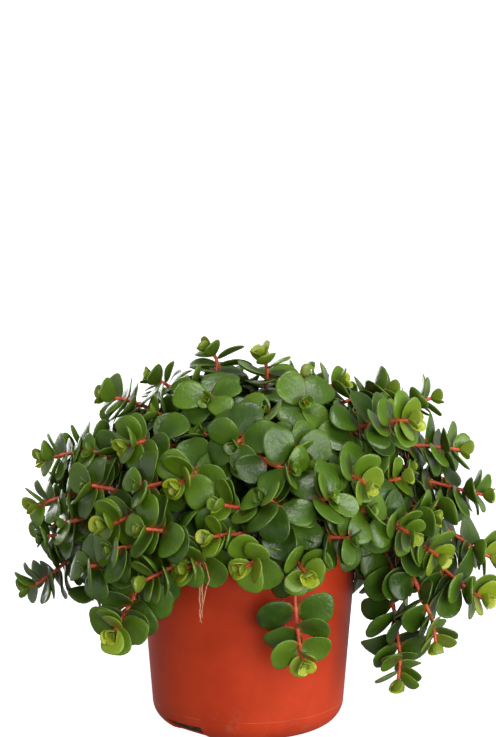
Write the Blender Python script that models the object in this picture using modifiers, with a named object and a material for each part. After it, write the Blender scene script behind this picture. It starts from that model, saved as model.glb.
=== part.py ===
"""A trailing sedum in a thin plastic nursery pot, with its soil and the leafy shoots that spill over the rim.

Units are metres, +Z is up, and the origin is the middle of the pot's flat base. The front faces -Y.
"""

import math
import random
from typing import NamedTuple

import bmesh
import bpy
import numpy as np
from mathutils import Matrix, Vector
from mathutils.bvhtree import BVHTree

UP = Vector((0, 0, 1))
GOLDEN_ANGLE = math.radians(137.508)

# Pot
POT_HEIGHT = 0.112
BASE_WALL_RADIUS = 0.049  # where the wall's slope would meet the ground
WALL_SLOPE = 0.08  # growth of the radius with height
WALL_THICKNESS = 0.0012
FLOOR_THICKNESS = 0.0015
CORNER_RADIUS = 0.012  # round turn from the wall into the base
LIP_RADIUS = 0.060
LIP_HEIGHT = 0.008
LIP_ROUNDING = 0.0008
POT_STEPS = 36
CORNER_STEPS = 3
DRAIN_HOLES = 6
DRAIN_RADIUS = 0.004
DRAIN_CIRCLE = 0.026
SLOT_ANGLES = (-134, 46)  # drainage slots in the bottom corner, in degrees
SLOT_WIDTH = 0.025
SLOT_HEIGHT = 0.0075
SLOT_INNER_RADIUS = 0.038

# Soil
SOIL_TOP = 0.100
SOIL_CROWN = 0.003  # how much higher the middle lies
SOIL_GAP = 0.0003
SOIL_STEPS = 20
HOLE_DEPTH = 0.010
HOLE_RADIUS = 0.0028
HOLE_SIDES = 4
HOLE_GAP = 0.0004  # between a stem's foot and the bottom of its hole

# Stems
STEM_RADIUS = 0.0016
STEM_TIP_SHARE = 0.5  # of that radius, at the tip
STEM_STEP = 0.016  # between the rings of the bare stretch
STEM_CLEARANCE = 0.0056  # between the middles of two stems
POT_CLEARANCE = 0.0065  # between a stem's middle and the pot
STEM_POINTS = 25  # along each path while the stems are bent clear
UPRIGHT_POINTS = 4  # of those, at the foot, that stay where they are
TIP_POINTS = 3  # and at the tip
CLEARING_ROUNDS = 60
STEM_STIFFNESS = 0.12  # share of a kink that each round takes out
ARCH_POINTS = 40
ARCH_FOOT = 0.002  # how far above the soil the arch begins
LEAST_RISE = 0.02
LEAST_CLIMB = 0.010  # of the arch over the soil; more for a high tip and a far one
CLIMB_PER_RISE = 0.45
CLIMB_PER_REACH = 0.35
ARCH_LEAN = 0.1
RUN_SHARE = 0.30  # how far back from its tip a stem keeps its heading, as a share of its reach
RUN_PER_DROP = 0.35
SHOOT_TOTAL = 53
BARE_FOOT = 0.016  # stretch of stem above the soil with no leaves
ROOT_CIRCLE = 0.046
EDGE_ROOT_TIP = 0.125  # a shoot whose tip is this low has its root at the edge of that circle
MIDDLE_ROOT_TIP = 0.200  # and one whose tip is this high has it in the middle

# Canopy: the egg shape that the tips lie on
CANOPY_MIDDLE = Vector((0, 0, 0.092))
CANOPY_RADIUS = 0.114
CANOPY_RISE = 0.092
CANOPY_DROP = 0.085
CANOPY_TOP_SHARE = 0.96  # highest and lowest filling tips, as shares of that rise and drop
CANOPY_LOW_SHARE = -0.40
HEADING_LEVEL = 0.8  # a tip's heading: outward, rising at the crown and drooping further down
HEADING_LIFT = 1.5
HEADING_DROOP = 0.9
POT_FRONT_SHARE = 0.5  # of the lip's radius: what lies further forward and under the lip hides the pot
CANOPY_PLACES = 90
FILLING_SPACING = 0.046  # between filling tips at first
FILLING_TIGHTENING = 0.94

# Leaves. Pairs are counted from the tip; each pair stands across the last one.
PAIR_OFFSETS = (0.0010, 0.0046, 0.0105, 0.0185, 0.0285)
PAIR_LENGTHS = (0.0080, 0.0124, 0.0164, 0.0190, 0.0198)
PAIR_ANGLES = (26, 50, 68, 78, 84)  # from the stem's own direction, in degrees
PAIR_RINGS = (6, 8, 8, 8, 8)  # corners round each blade, its root included
PAIR_TURN = 45  # of the stem, in degrees, so that no pair points straight out of the canopy
PAIR_TURN_SPREAD = 22
SWING_SPREAD = 14  # of a pair round its stem, in degrees
ANGLE_SPREAD = 9
TWIST_SPREAD = 16  # of a leaf about its own length, in degrees
LENGTH_SPREAD = (0.84, 1.09)
CURL_SPREAD = (-0.18, 0.02)
OUTWARD_PULL = 0.20  # how much a grown leaf leans out of the canopy
LIGHT_FLATTENING = 0.75  # and how much it lies down across the light
SKYWARD = 0.8  # how much the light comes from above
WINDOW = Vector((0, -0.35, 0))  # and from the side that the plant faces
TIPWARD_FACE = (1.0, 0.45)  # how much a leaf's face looks along the stem, for the youngest and a grown one
LIGHTWARD_FACE = (0.2, 0.90)  # and how much towards the light
JOINT_HALF = 0.0010  # half the height of a leaf's root on the stem
LEAF_WIDTH_SHARE = 0.97
LEAF_THICKNESS = 0.0020
YOUNG_THICKNESS_SHARE = 0.16  # of its length, where that is thinner
LEAF_WAIST = 0.84  # how full the blade stays towards its stalk
LEAF_FULLEST = LEAF_WAIST + 0.11 * (1 - LEAF_WAIST)
LEAF_DISH = 0.05  # how deep its middle lies, as a share of its length
LEAF_CROWN = 0.56  # where its middle lies along it
LEAF_GAP = 0.0003
FOOT_SWELL = 1.2  # of a leaf's root, in the tests
NEIGHBOUR_REACH = 0.035  # between the middles of leaves that could meet
POT_TREE_STEPS = 48
SOIL_EYE = 0.001  # the little ring that ends the tested skin in the middle of the soil
FOOT_LEAN = 0.25  # least share of a leaf's direction that points straight off its stem
FOOT_SQUARE = 0.4  # least share of its width that lies along its root's

# Shoots that show in front and along the outline: where each tip lies and the way it points.
KNOWN_TIPS = {
    "crest_left": ((-0.021, 0.015, 0.193), (-0.8, 0.0, 0.5)),
    "crest_middle": ((0.007, 0.000, 0.192), (-0.5, -0.1, 0.8)),
    "upper_left": ((-0.073, 0.000, 0.170), (-1.0, -0.1, 0.1)),
    "left_high": ((-0.104, -0.010, 0.140), (-1.0, -0.2, -0.15)),
    "left_middle": ((-0.108, -0.022, 0.118), (-0.9, -0.5, -0.1)),
    "left_low": ((-0.113, -0.018, 0.074), (-0.9, -0.1, -0.3)),
    "left_rosette": ((-0.066, -0.078, 0.066), (-0.3, -0.95, -0.2)),
    "left_inner": ((-0.080, -0.045, 0.094), (-0.8, -0.5, -0.4)),
    "right_inner": ((0.096, -0.046, 0.096), (0.8, -0.5, -0.5)),
    "front_left_high": ((-0.070, -0.072, 0.118), (-1.0, -0.25, 0.0)),
    "front_left_low": ((-0.030, -0.094, 0.102), (-1.0, -0.25, 0.0)),
    "front_middle": ((-0.002, -0.100, 0.104), (-1.0, -0.25, 0.0)),
    "front_rosette": ((0.028, -0.095, 0.099), (0.3, -1.0, -0.2)),
    "front_trailing": ((0.027, -0.084, 0.053), (0.2, -0.85, -0.5)),
    "right_rosette": ((0.080, -0.067, 0.112), (0.7, -0.8, -0.4)),
    "right_high": ((0.080, -0.055, 0.167), (0.9, -0.4, 0.1)),
    "upper_right": ((0.096, 0.010, 0.168), (0.9, 0.0, 0.3)),
    "side_high": ((0.110, -0.004, 0.143), (1.0, -0.1, -0.1)),
    "side_middle": ((0.122, -0.006, 0.120), (1.0, -0.1, -0.1)),
    "side_low": ((0.126, -0.008, 0.087), (0.9, -0.2, -0.4)),
    "side_rosette": ((0.119, -0.038, 0.073), (0.7, -0.6, -0.2)),
    "right_trailing": ((0.076, -0.037, 0.030), (-0.2, -0.3, -1.0)),
    "right_hanging": ((0.094, -0.047, 0.052), (0.0, -0.2, -1.0)),
    "crest_right": ((0.048, 0.005, 0.177), (0.8, -0.2, 0.3)),
    "crest_far_right": ((0.074, 0.018, 0.171), (0.9, 0.0, 0.2)),
    "crest_far_left": ((-0.050, 0.018, 0.177), (-0.9, 0.0, 0.25)),
    "brow_middle": ((-0.006, -0.070, 0.158), (-0.5, -0.6, -0.3)),
    "brow_left": ((-0.034, -0.082, 0.140), (-0.7, -0.5, -0.45)),
    "brow_right": ((0.026, -0.068, 0.152), (0.35, -0.7, -0.4)),
    "brow_far_left": ((-0.060, -0.054, 0.154), (-0.8, -0.4, -0.25)),
    "brow_far_right": ((0.058, -0.074, 0.138), (0.6, -0.5, -0.5)),
    "crown_left": ((-0.020, -0.038, 0.175), (-0.4, -0.8, 0.1)),
    "crown_right": ((0.028, -0.036, 0.173), (0.3, -0.8, 0.1)),
}

# Shoots on the front of the crown that end in grown leaves, and by how many pairs those are older.
OLDER_TIPS = {"brow_middle": 2, "brow_right": 1, "crown_left": 2, "crown_right": 2}

# Ways to bend a leaf that would cross a neighbour: tilt and twist in degrees, and size.
BENDS = [(0, 0, 1)]
BENDS += [(tilt, twist, 1) for tilt in (-12, 12, -24, 24) for twist in (0, -20, 20)]
BENDS += [(tilt, twist, 1) for tilt in (-30, 30) for twist in (-35, 35)]
BENDS += [(tilt, twist, 0.85) for tilt in (0, -15, 15, 30) for twist in (0, -30, 30)]
BENDS += [(tilt, twist, 0.7) for tilt in (0, -20, 20, 40) for twist in (0, -40, 40)]


class Stem(NamedTuple):
    rings: list  # four corners each, from the foot up
    ways: list  # the stem's direction at each ring
    joints: list  # the ring under each pair of leaves, from the tip down


class Leaf(NamedTuple):
    foot: list  # the four corners on the stem that it grows from
    root: Vector  # their middle
    along: Vector
    face: Vector
    length: float
    curl: float  # how far the tip lies above the blade's own plane, as a share of its length
    ring: int
    side: int  # the side of the stem that it grows from
    joint: int


def clear_scene():
    for obj in list(bpy.data.objects):
        bpy.data.objects.remove(obj, do_unlink=True)


def new_collection(name):
    made = bpy.data.collections.new(name)
    bpy.context.scene.collection.children.link(made)
    return made


def new_object(name, mesh, collection, materials):
    made = bpy.data.objects.new(name, mesh)
    collection.objects.link(made)
    for material in materials:
        mesh.materials.append(material)
    return made


def new_material(name, colour, roughness):
    material = bpy.data.materials.new(name)
    material.use_nodes = True
    shader = material.node_tree.nodes["Principled BSDF"]
    shader.inputs["Base Color"].default_value = (*colour, 1)
    shader.inputs["Roughness"].default_value = roughness
    shader.inputs["Metallic"].default_value = 0
    material.diffuse_color = (*colour, 1)
    return material


# The pot and its soil


def wall_radius(height):
    return BASE_WALL_RADIUS + WALL_SLOPE * height


def corner_arc(inset, floor):
    """Points of the round bottom corner, from wall to floor, at a distance inside the outer skin."""
    middle = wall_radius(CORNER_RADIUS) - CORNER_RADIUS
    reach = CORNER_RADIUS - inset
    turns = [math.radians(90 * i / CORNER_STEPS) for i in range(CORNER_STEPS + 1)]
    return [(middle + reach * math.cos(turn), floor + reach * (1 - math.sin(turn))) for turn in turns]


def turned(name, profile, steps, collection, material):
    """A solid of revolution round the Z axis, from (radius, height) points."""
    mesh = bpy.data.meshes.new(name)
    edges = [(i, i + 1) for i in range(len(profile) - 1)]
    mesh.from_pydata([(radius, 0, height) for radius, height in profile], edges, [])
    obj = new_object(name, mesh, collection, [material])
    screw = obj.modifiers.new("Turn", "SCREW")
    screw.steps = screw.render_steps = steps
    screw.use_merge_vertices = True
    screw.merge_threshold = 0.00001
    screw.use_smooth_shade = True
    return obj


def into_cutters(obj, name, collection):
    obj.name = name
    for holder in list(obj.users_collection):
        holder.objects.unlink(obj)
    collection.objects.link(obj)
    obj.hide_render = True
    obj.display_type = "WIRE"


def cut(obj, cutters):
    modifier = obj.modifiers.new("Cut", "BOOLEAN")
    modifier.operation = "DIFFERENCE"
    modifier.operand_type = "COLLECTION"
    modifier.collection = cutters
    modifier.solver = "EXACT"


def add_drain_cutters(collection):
    """Round holes through the pot's floor, and slots through its bottom corner."""
    for i in range(DRAIN_HOLES):
        turn = 2 * math.pi * i / DRAIN_HOLES
        place = (DRAIN_CIRCLE * math.cos(turn), DRAIN_CIRCLE * math.sin(turn), 0)
        bpy.ops.mesh.primitive_cylinder_add(
            vertices=8, radius=DRAIN_RADIUS, depth=4 * FLOOR_THICKNESS, location=place
        )
        into_cutters(bpy.context.object, f"drain_cutter_{i}", collection)
    reach = LIP_RADIUS - SLOT_INNER_RADIUS
    middle = SLOT_INNER_RADIUS + reach / 2
    for i, degrees in enumerate(SLOT_ANGLES):
        turn = math.radians(degrees)
        bpy.ops.mesh.primitive_cube_add(
            size=1,
            location=(middle * math.cos(turn), middle * math.sin(turn), 0),
            rotation=(0, 0, turn),
            scale=(reach, SLOT_WIDTH, 2 * SLOT_HEIGHT),
        )
        into_cutters(bpy.context.object, f"slot_cutter_{i}", collection)


def make_pot(collection, cutters, material):
    lip_foot = POT_HEIGHT - LIP_HEIGHT
    mouth = wall_radius(POT_HEIGHT) - WALL_THICKNESS
    profile = [
        (0, FLOOR_THICKNESS),
        *reversed(corner_arc(WALL_THICKNESS, FLOOR_THICKNESS)),
        (mouth, POT_HEIGHT - LIP_ROUNDING),
        (mouth + LIP_ROUNDING, POT_HEIGHT),
        (LIP_RADIUS - LIP_ROUNDING, POT_HEIGHT),
        (LIP_RADIUS, POT_HEIGHT - LIP_ROUNDING),
        (LIP_RADIUS, lip_foot + LIP_ROUNDING),
        (wall_radius(lip_foot), lip_foot),
        *corner_arc(0, 0),
        (0, 0),
    ]
    pot = turned("pot", profile, POT_STEPS, collection, material)
    add_drain_cutters(cutters)
    cut(pot, cutters)


def make_soil(collection, cutters, material, roots):
    """The root ball fills the pot inside its walls, and each stem stands in a plain hole in its top."""
    inset = WALL_THICKNESS + SOIL_GAP
    profile = [
        (0, SOIL_TOP + SOIL_CROWN),
        (ROOT_CIRCLE, SOIL_TOP + SOIL_CROWN),
        (wall_radius(SOIL_TOP) - inset, SOIL_TOP),
        *corner_arc(inset, FLOOR_THICKNESS + SOIL_GAP),
        (0, FLOOR_THICKNESS + SOIL_GAP),
    ]
    soil = turned("soil", profile, SOIL_STEPS, collection, material)
    length = 2 * HOLE_DEPTH
    for i, root in enumerate(roots):
        place = (root.x, root.y, root.z - HOLE_GAP + length / 2)
        bpy.ops.mesh.primitive_cylinder_add(
            vertices=HOLE_SIDES, radius=HOLE_RADIUS, depth=length, location=place
        )
        into_cutters(bpy.context.object, f"stem_hole_{i:02d}", cutters)
    cut(soil, cutters)


# Growth: where the tips lie, and how the stems reach them


def canopy_tip(turn, height_share):
    """A tip on the canopy: its place, and a heading that rises at the crown and droops at the skirt."""
    level = Vector((math.cos(turn), math.sin(turn), 0))
    flat = math.sqrt(1 - height_share**2)
    rise = CANOPY_RISE if height_share > 0 else CANOPY_DROP
    place = CANOPY_MIDDLE + level * CANOPY_RADIUS * flat + UP * rise * height_share
    return place, (HEADING_LEVEL * level + UP * (HEADING_LIFT * height_share - HEADING_DROOP)).normalized()


def in_front_of_pot(place):
    return place.y < -POT_FRONT_SHARE * LIP_RADIUS and place.z < POT_HEIGHT


def all_tips():
    """The known tips, then tips by the golden angle over what those leave bare, save in front of the pot."""
    tips = {name: (Vector(tip), Vector(way).normalized()) for name, (tip, way) in KNOWN_TIPS.items()}
    spacing = FILLING_SPACING
    while len(tips) < SHOOT_TOTAL:
        for i in range(CANOPY_PLACES):
            down = (i + 0.5) / CANOPY_PLACES
            share = CANOPY_TOP_SHARE + (CANOPY_LOW_SHARE - CANOPY_TOP_SHARE) * down
            place, way = canopy_tip(i * GOLDEN_ANGLE, share)
            if len(tips) == SHOOT_TOTAL or in_front_of_pot(place):
                continue
            if min((place - other).length for other, _ in tips.values()) > spacing:
                tips[f"filling_{len(tips) - len(KNOWN_TIPS) + 1:02d}"] = (place, way)
        spacing *= FILLING_TIGHTENING
    return tips


def share_out_roots(tips):
    """Roots lie like sunflower seeds; high shoots take the inner ones and low shoots the outer ones."""
    free = []
    for i in range(len(tips)):
        radius = ROOT_CIRCLE * math.sqrt((i + 0.5) / len(tips))
        free.append(Vector((radius * math.cos(i * GOLDEN_ANGLE), radius * math.sin(i * GOLDEN_ANGLE), 0)))
    roots = {}
    for name, (tip, _) in sorted(tips.items(), key=lambda item: item[1][0].z):
        level = Vector((tip.x, tip.y, 0))
        lowness = (MIDDLE_ROOT_TIP - tip.z) / (MIDDLE_ROOT_TIP - EDGE_ROOT_TIP)
        wanted = level.normalized() * min(ROOT_CIRCLE * min(1, lowness), level.length)
        root = min(free, key=lambda spot: (spot - wanted).length)
        free.remove(root)
        roots[name] = root + UP * (SOIL_TOP + SOIL_CROWN - HOLE_DEPTH)
    return roots


def bezier(points, count):
    a, b, c, d = (np.array(point) for point in points)
    t = np.linspace(0, 1, count)[:, None]
    return (1 - t) ** 3 * a + 3 * t * (1 - t) ** 2 * b + 3 * t**2 * (1 - t) * c + t**3 * d


def runs_along(line):
    return np.concatenate([[0], np.cumsum(np.linalg.norm(np.diff(line, axis=0), axis=1))])


def at_runs(line, wanted):
    """Points of the line at these distances from its start."""
    runs = runs_along(line)
    return np.stack([np.interp(wanted, runs, line[:, i]) for i in range(3)], axis=1)


def first_path(root, tip, way):
    """A stem that leaves the soil upright, arches over the rim and arrives at its tip along its heading."""
    foot = root + UP * (HOLE_DEPTH + ARCH_FOOT)
    outward = Vector((tip.x - root.x, tip.y - root.y, 0))
    rise = max(LEAST_RISE, tip.z - foot.z)
    climb = CLIMB_PER_RISE * rise + CLIMB_PER_REACH * outward.length + LEAST_CLIMB
    run = RUN_SHARE * (tip - foot).length + RUN_PER_DROP * max(0, foot.z - tip.z)
    arch = bezier((foot, foot + UP * climb + ARCH_LEAN * outward, tip - way * run, tip), ARCH_POINTS)
    line = np.vstack([np.array(root)[None], arch])
    return at_runs(line, np.linspace(0, runs_along(line)[-1], STEM_POINTS))


def push_off_pot(points):
    """Keeps a stem inside the mouth, over the lip and outside the wall."""
    mouth = wall_radius(POT_HEIGHT) - WALL_THICKNESS - POT_CLEARANCE
    for point in points:
        radius = math.hypot(point[0], point[1])
        if point[2] > POT_HEIGHT + POT_CLEARANCE or radius < mouth:
            continue
        if radius < LIP_RADIUS:
            point[2] = POT_HEIGHT + POT_CLEARANCE
        elif radius < LIP_RADIUS + POT_CLEARANCE:
            point[:2] *= (LIP_RADIUS + POT_CLEARANCE) / radius


def part_stems(paths):
    """Bends stems clear of each other and of the pot, with their feet and tips held."""
    stack = np.array(list(paths.values()))
    shoots, count, _ = stack.shape
    owner = np.repeat(np.arange(shoots), count)
    for _ in range(CLEARING_ROUNDS):
        flat = stack.reshape(-1, 3)
        apart = flat[:, None] - flat[None]
        distance = np.linalg.norm(apart, axis=2) + 1e-9
        close = (distance < STEM_CLEARANCE) & (owner[:, None] != owner[None])
        push = np.where(close, (STEM_CLEARANCE - distance) / distance, 0)[..., None] * apart * 0.5
        moved = (flat + push.sum(axis=1)).reshape(stack.shape)
        moved[:, 1:-1] += STEM_STIFFNESS * (moved[:, 2:] + moved[:, :-2] - 2 * moved[:, 1:-1])
        moved[:, :UPRIGHT_POINTS] = stack[:, :UPRIGHT_POINTS]
        moved[:, -TIP_POINTS:] = stack[:, -TIP_POINTS:]
        for path in moved:
            push_off_pot(path[UPRIGHT_POINTS:-TIP_POINTS])
        stack = moved
    return dict(zip(paths, stack))


def make_stem(name, path):
    """Square rings along a path: two close ones at each leaf joint, and wide steps down to the foot."""
    length = runs_along(path)[-1]
    joints = [length - offset for offset in PAIR_OFFSETS if length - offset > HOLE_DEPTH + BARE_FOOT]
    foot = HOLE_DEPTH + ARCH_FOOT / 2
    bare = joints[-1] - JOINT_HALF - foot
    steps = math.ceil(bare / STEM_STEP)
    runs = [0, *(foot + bare * i / steps for i in range(steps))]
    for run in reversed(joints):
        runs += [run - JOINT_HALF, run + JOINT_HALF]
    runs = np.array(runs)
    places = at_runs(path, runs)
    reach = 2 * STEM_RADIUS
    ways = at_runs(path, np.minimum(runs + reach, length)) - at_runs(path, np.maximum(runs - reach, 0))
    turn = PAIR_TURN + random.Random(name).uniform(-PAIR_TURN_SPREAD, PAIR_TURN_SPREAD)
    turn = math.radians(turn) + math.atan2(path[-1][1], path[-1][0])
    side = Vector((math.cos(turn), math.sin(turn), 0))
    rings = []
    directions = []
    for run, place, way in zip(runs, places, ways):
        way = Vector(way).normalized()
        side = (side - way * side.dot(way)).normalized()
        other = way.cross(side)
        radius = STEM_RADIUS * float(1 - (1 - STEM_TIP_SHARE) * run / length)
        corners = [math.radians(90 * k - 45) for k in range(4)]
        rings.append([Vector(place) + radius * (side * math.cos(c) + other * math.sin(c)) for c in corners])
        directions.append(way)
    return Stem(rings, directions, [len(runs) - 2 * i - 2 for i in range(len(joints))])


# Growth: how the leaves stand


def leaf_pair(name, stem, pair):
    """The two opposite leaves of a pair, as they would stand with no neighbours."""
    draw = random.Random(f"{name} {pair}")
    joint = stem.joints[pair]
    way = stem.ways[joint]
    age = min(pair + OLDER_TIPS.get(name, 0), len(PAIR_LENGTHS) - 1)
    grown = age / (len(PAIR_LENGTHS) - 1)
    swing = math.radians(draw.uniform(-SWING_SPREAD, SWING_SPREAD))
    for side in (pair % 2, pair % 2 + 2):
        foot = joint_corners(stem.rings, joint, side)
        root = sum(foot, Vector()) / 4
        away = Matrix.Rotation(swing, 3, way) @ (foot[1] - foot[0]).cross(way).normalized()
        outward = (root - CANOPY_MIDDLE).normalized()
        spread = math.radians(PAIR_ANGLES[age] + draw.uniform(-ANGLE_SPREAD, ANGLE_SPREAD))
        light = (outward + SKYWARD * UP + WINDOW).normalized()
        along = way * math.cos(spread) + away * math.sin(spread) + OUTWARD_PULL * grown * outward
        along = (along - LIGHT_FLATTENING * grown * along.dot(light) * light).normalized()
        tipward = TIPWARD_FACE[0] + (TIPWARD_FACE[1] - TIPWARD_FACE[0]) * grown
        lightward = LIGHTWARD_FACE[0] + (LIGHTWARD_FACE[1] - LIGHTWARD_FACE[0]) * grown
        face = tipward * way + lightward * light
        face = (face - along * face.dot(along)).normalized()
        length = PAIR_LENGTHS[age] * draw.uniform(*LENGTH_SPREAD)
        curl = draw.uniform(*CURL_SPREAD)
        face = Matrix.Rotation(math.radians(draw.uniform(-TWIST_SPREAD, TWIST_SPREAD)), 3, along) @ face
        yield Leaf(foot, root, along, face, length, curl, PAIR_RINGS[pair], side, joint)


def joint_corners(rings, joint, side):
    """The corners of one face of a stem's joint: lower left, lower right, upper right and upper left."""
    after = (side + 1) % 4
    return [rings[joint][side], rings[joint][after], rings[joint + 1][after], rings[joint + 1][side]]


def bent(leaf, tilt, twist, scale):
    """The leaf tilted towards its own face and twisted about its stalk, in degrees."""
    turn = Matrix.Rotation(math.radians(tilt), 3, leaf.along.cross(leaf.face))
    along = turn @ leaf.along
    face = Matrix.Rotation(math.radians(twist), 3, along) @ (turn @ leaf.face)
    return leaf._replace(along=along, face=face, length=leaf.length * scale)


def blade_points(leaf, gap=0):
    """The outline from shoulder to shoulder round the tip, then the middle of the upper and lower faces."""
    length = leaf.length + gap
    width = LEAF_WIDTH_SHARE * leaf.length + 2 * gap
    thickness = min(LEAF_THICKNESS, YOUNG_THICKNESS_SHARE * length) + 2 * gap
    points = []
    for i in range(1 - leaf.ring // 2, leaf.ring // 2):
        turn = 2 * math.pi * i / leaf.ring
        waist = (LEAF_WAIST + (1 - LEAF_WAIST) * math.cos(turn)) / LEAF_FULLEST
        points.append((length * (1 + math.cos(turn)) / 2, width / 2 * math.sin(turn) * waist, 0))
    for half in (thickness / 2, -thickness / 2):
        points.append((LEAF_CROWN * length, 0, half - LEAF_DISH * length))
    across = leaf.face.cross(leaf.along)
    rise = leaf.curl / length
    return [leaf.root + leaf.along * x + across * y + leaf.face * (z + rise * x * x) for x, y, z in points]


def blade_tree(leaf, gap=LEAF_GAP, with_root=True):
    """The blade as a closed skin, or only past its shoulders, for testing it against its neighbours."""
    *outline, upper, lower = blade_points(leaf, gap)
    faces = [(b, a, upper) for a, b in zip(outline, outline[1:])]
    faces += [(a, b, lower) for a, b in zip(outline, outline[1:])]
    if with_root:
        swollen = [leaf.root + FOOT_SWELL * (corner - leaf.root) for corner in leaf.foot]
        low_left, low_right, high_right, high_left = swollen
        left, right = outline[0], outline[-1]
        faces += [(left, high_left, upper), (high_left, high_right, upper), (high_right, right, upper)]
        faces += [(low_left, left, lower), (low_right, low_left, lower), (right, low_right, lower)]
        faces += [(low_left, high_left, left), (high_right, low_right, right)]
    corners = [corner for face in faces for corner in face]
    return BVHTree.FromPolygons(corners, [(i, i + 1, i + 2) for i in range(0, len(corners), 3)])


def ring_tree(rings):
    """The skin through closed rings of corners."""
    count = len(rings[0])
    corners = [corner for ring in rings for corner in ring]
    faces = []
    for start in range(0, len(corners) - count, count):
        for k in range(count):
            after = (k + 1) % count
            faces.append((start + k, start + after, start + count + after, start + count + k))
    return BVHTree.FromPolygons(corners, faces)


def stem_tree(stem):
    swell = 1 + LEAF_GAP / (STEM_RADIUS * STEM_TIP_SHARE)
    rings = []
    for ring in stem.rings:
        middle = sum(ring, Vector()) / 4
        rings.append([middle + (corner - middle) * swell for corner in ring])
    return ring_tree(rings)


def pot_tree():
    """The pot's outside, its lip and the soil as one simple skin."""
    outline = (
        (wall_radius(CORNER_RADIUS) - CORNER_RADIUS, 0),
        (wall_radius(CORNER_RADIUS), CORNER_RADIUS),
        (wall_radius(POT_HEIGHT - LIP_HEIGHT), POT_HEIGHT - LIP_HEIGHT),
        (LIP_RADIUS, POT_HEIGHT - LIP_HEIGHT),
        (LIP_RADIUS, POT_HEIGHT),
        (wall_radius(POT_HEIGHT) - WALL_THICKNESS, POT_HEIGHT),
        (wall_radius(SOIL_TOP) - WALL_THICKNESS, SOIL_TOP),
        (ROOT_CIRCLE, SOIL_TOP + SOIL_CROWN),
        (SOIL_EYE, SOIL_TOP + SOIL_CROWN),
    )
    turns = [2 * math.pi * k / POT_TREE_STEPS for k in range(POT_TREE_STEPS)]
    return ring_tree([[Vector((r * math.cos(t), r * math.sin(t), z)) for t in turns] for r, z in outline])


def grow_leaves(stems):
    """The leaves of every shoot, tips first; one that would cross a neighbour is bent clear or left out."""
    trees = {name: stem_tree(stem) for name, stem in stems.items()}
    pot = pot_tree()
    taken = []
    leaves = {name: [] for name in stems}
    for pair in range(len(PAIR_OFFSETS)):
        for name, stem in stems.items():
            if pair >= len(stem.joints):
                continue
            obstacles = [pot, *(tree for owner, tree in trees.items() if owner != name)]
            for wanted in leaf_pair(name, stem, pair):
                found = fit_leaf(wanted, obstacles, trees[name], taken)
                if found:
                    leaves[name].append(found)
    return leaves


def grows_freely(leaf):
    """Whether the blade leaves its foot outward, with its edges on the foot's own sides."""
    width = (leaf.foot[1] - leaf.foot[0]).normalized()
    away = width.cross(leaf.foot[3] - leaf.foot[0]).normalized()
    return leaf.along.dot(away) > FOOT_LEAN and leaf.face.cross(leaf.along).dot(width) > FOOT_SQUARE


def fit_leaf(wanted, obstacles, own_stem, taken):
    near = [tree for middle, tree in taken if (middle - wanted.root).length < NEIGHBOUR_REACH]
    for bend in BENDS:
        leaf = bent(wanted, *bend)
        if not grows_freely(leaf) or blade_tree(leaf, with_root=False).overlap(own_stem):
            continue
        tree = blade_tree(leaf)
        if not any(tree.overlap(other) for other in (*near, *obstacles)):
            taken.append((leaf.root + leaf.along * leaf.length / 2, tree))
            return leaf
    return None


# Shoots as solids


def extruded(shape, corners):
    """Extrudes the face on these corners, and gives its new corners in the same order."""
    face = shape.faces.get(corners)
    grown = bmesh.ops.extrude_discrete_faces(shape, faces=[face])["faces"][0]
    return [min(grown.verts, key=lambda vert: (vert.co - corner.co).length) for corner in corners]


def raise_stem(shape, rings):
    """A square block is drawn out from ring to ring; the corners of every ring are given back."""
    block = bmesh.ops.create_cone(shape, cap_ends=True, segments=4, radius1=1, radius2=1, depth=1)["verts"]
    made = []
    for height in (-0.5, 0.5):
        level = [vert for vert in block if abs(vert.co.z - height) < 0.1]
        made.append(sorted(level, key=lambda vert: math.atan2(vert.co.y, vert.co.x)))
    for _ in rings[2:]:
        made.append(None)
    for i, ring in enumerate(rings):
        if i > 1:
            made[i] = extruded(shape, made[i - 1])
        for vert, place in zip(made[i], ring):
            vert.co = place
    return made


def raise_leaf(shape, rings, leaf):
    """A face of the stem is pulled out, pinched to an edge, cut into the blade's outline and thickened."""
    foot = joint_corners(rings, leaf.joint, leaf.side)
    a, b, c, d = extruded(shape, foot)
    *outline, upper, lower = blade_points(leaf)
    bmesh.ops.weld_verts(shape, targetmap={d: a, c: b})
    a.co = outline[0]
    b.co = outline[-1]
    last = a
    for place in outline[1:-1]:
        last = bmesh.utils.edge_split(shape.edges.get([last, b]), last, 0.5)[1]
        last.co = place
    for corner, middle in ((foot[3], upper), (foot[0], lower)):
        side = next(face for face in last.link_faces if corner in face.verts)
        crown = bmesh.ops.poke(shape, faces=[side])["verts"][0]
        crown.co = middle
        for face in crown.link_faces:
            face.material_index = 1


def make_shoot(name, stem, leaves, collection, materials):
    """A stem with its leaves drawn out of its own sides, as one solid."""
    shape = bmesh.new()
    rings = raise_stem(shape, stem.rings)
    for leaf in leaves:
        raise_leaf(shape, rings, leaf)
    mesh = bpy.data.meshes.new(name)
    shape.to_mesh(mesh)
    shape.free()
    new_object(name, mesh, collection, materials)
    mesh.shade_smooth()
    mesh.set_sharp_from_angle(angle=math.radians(40))


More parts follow.
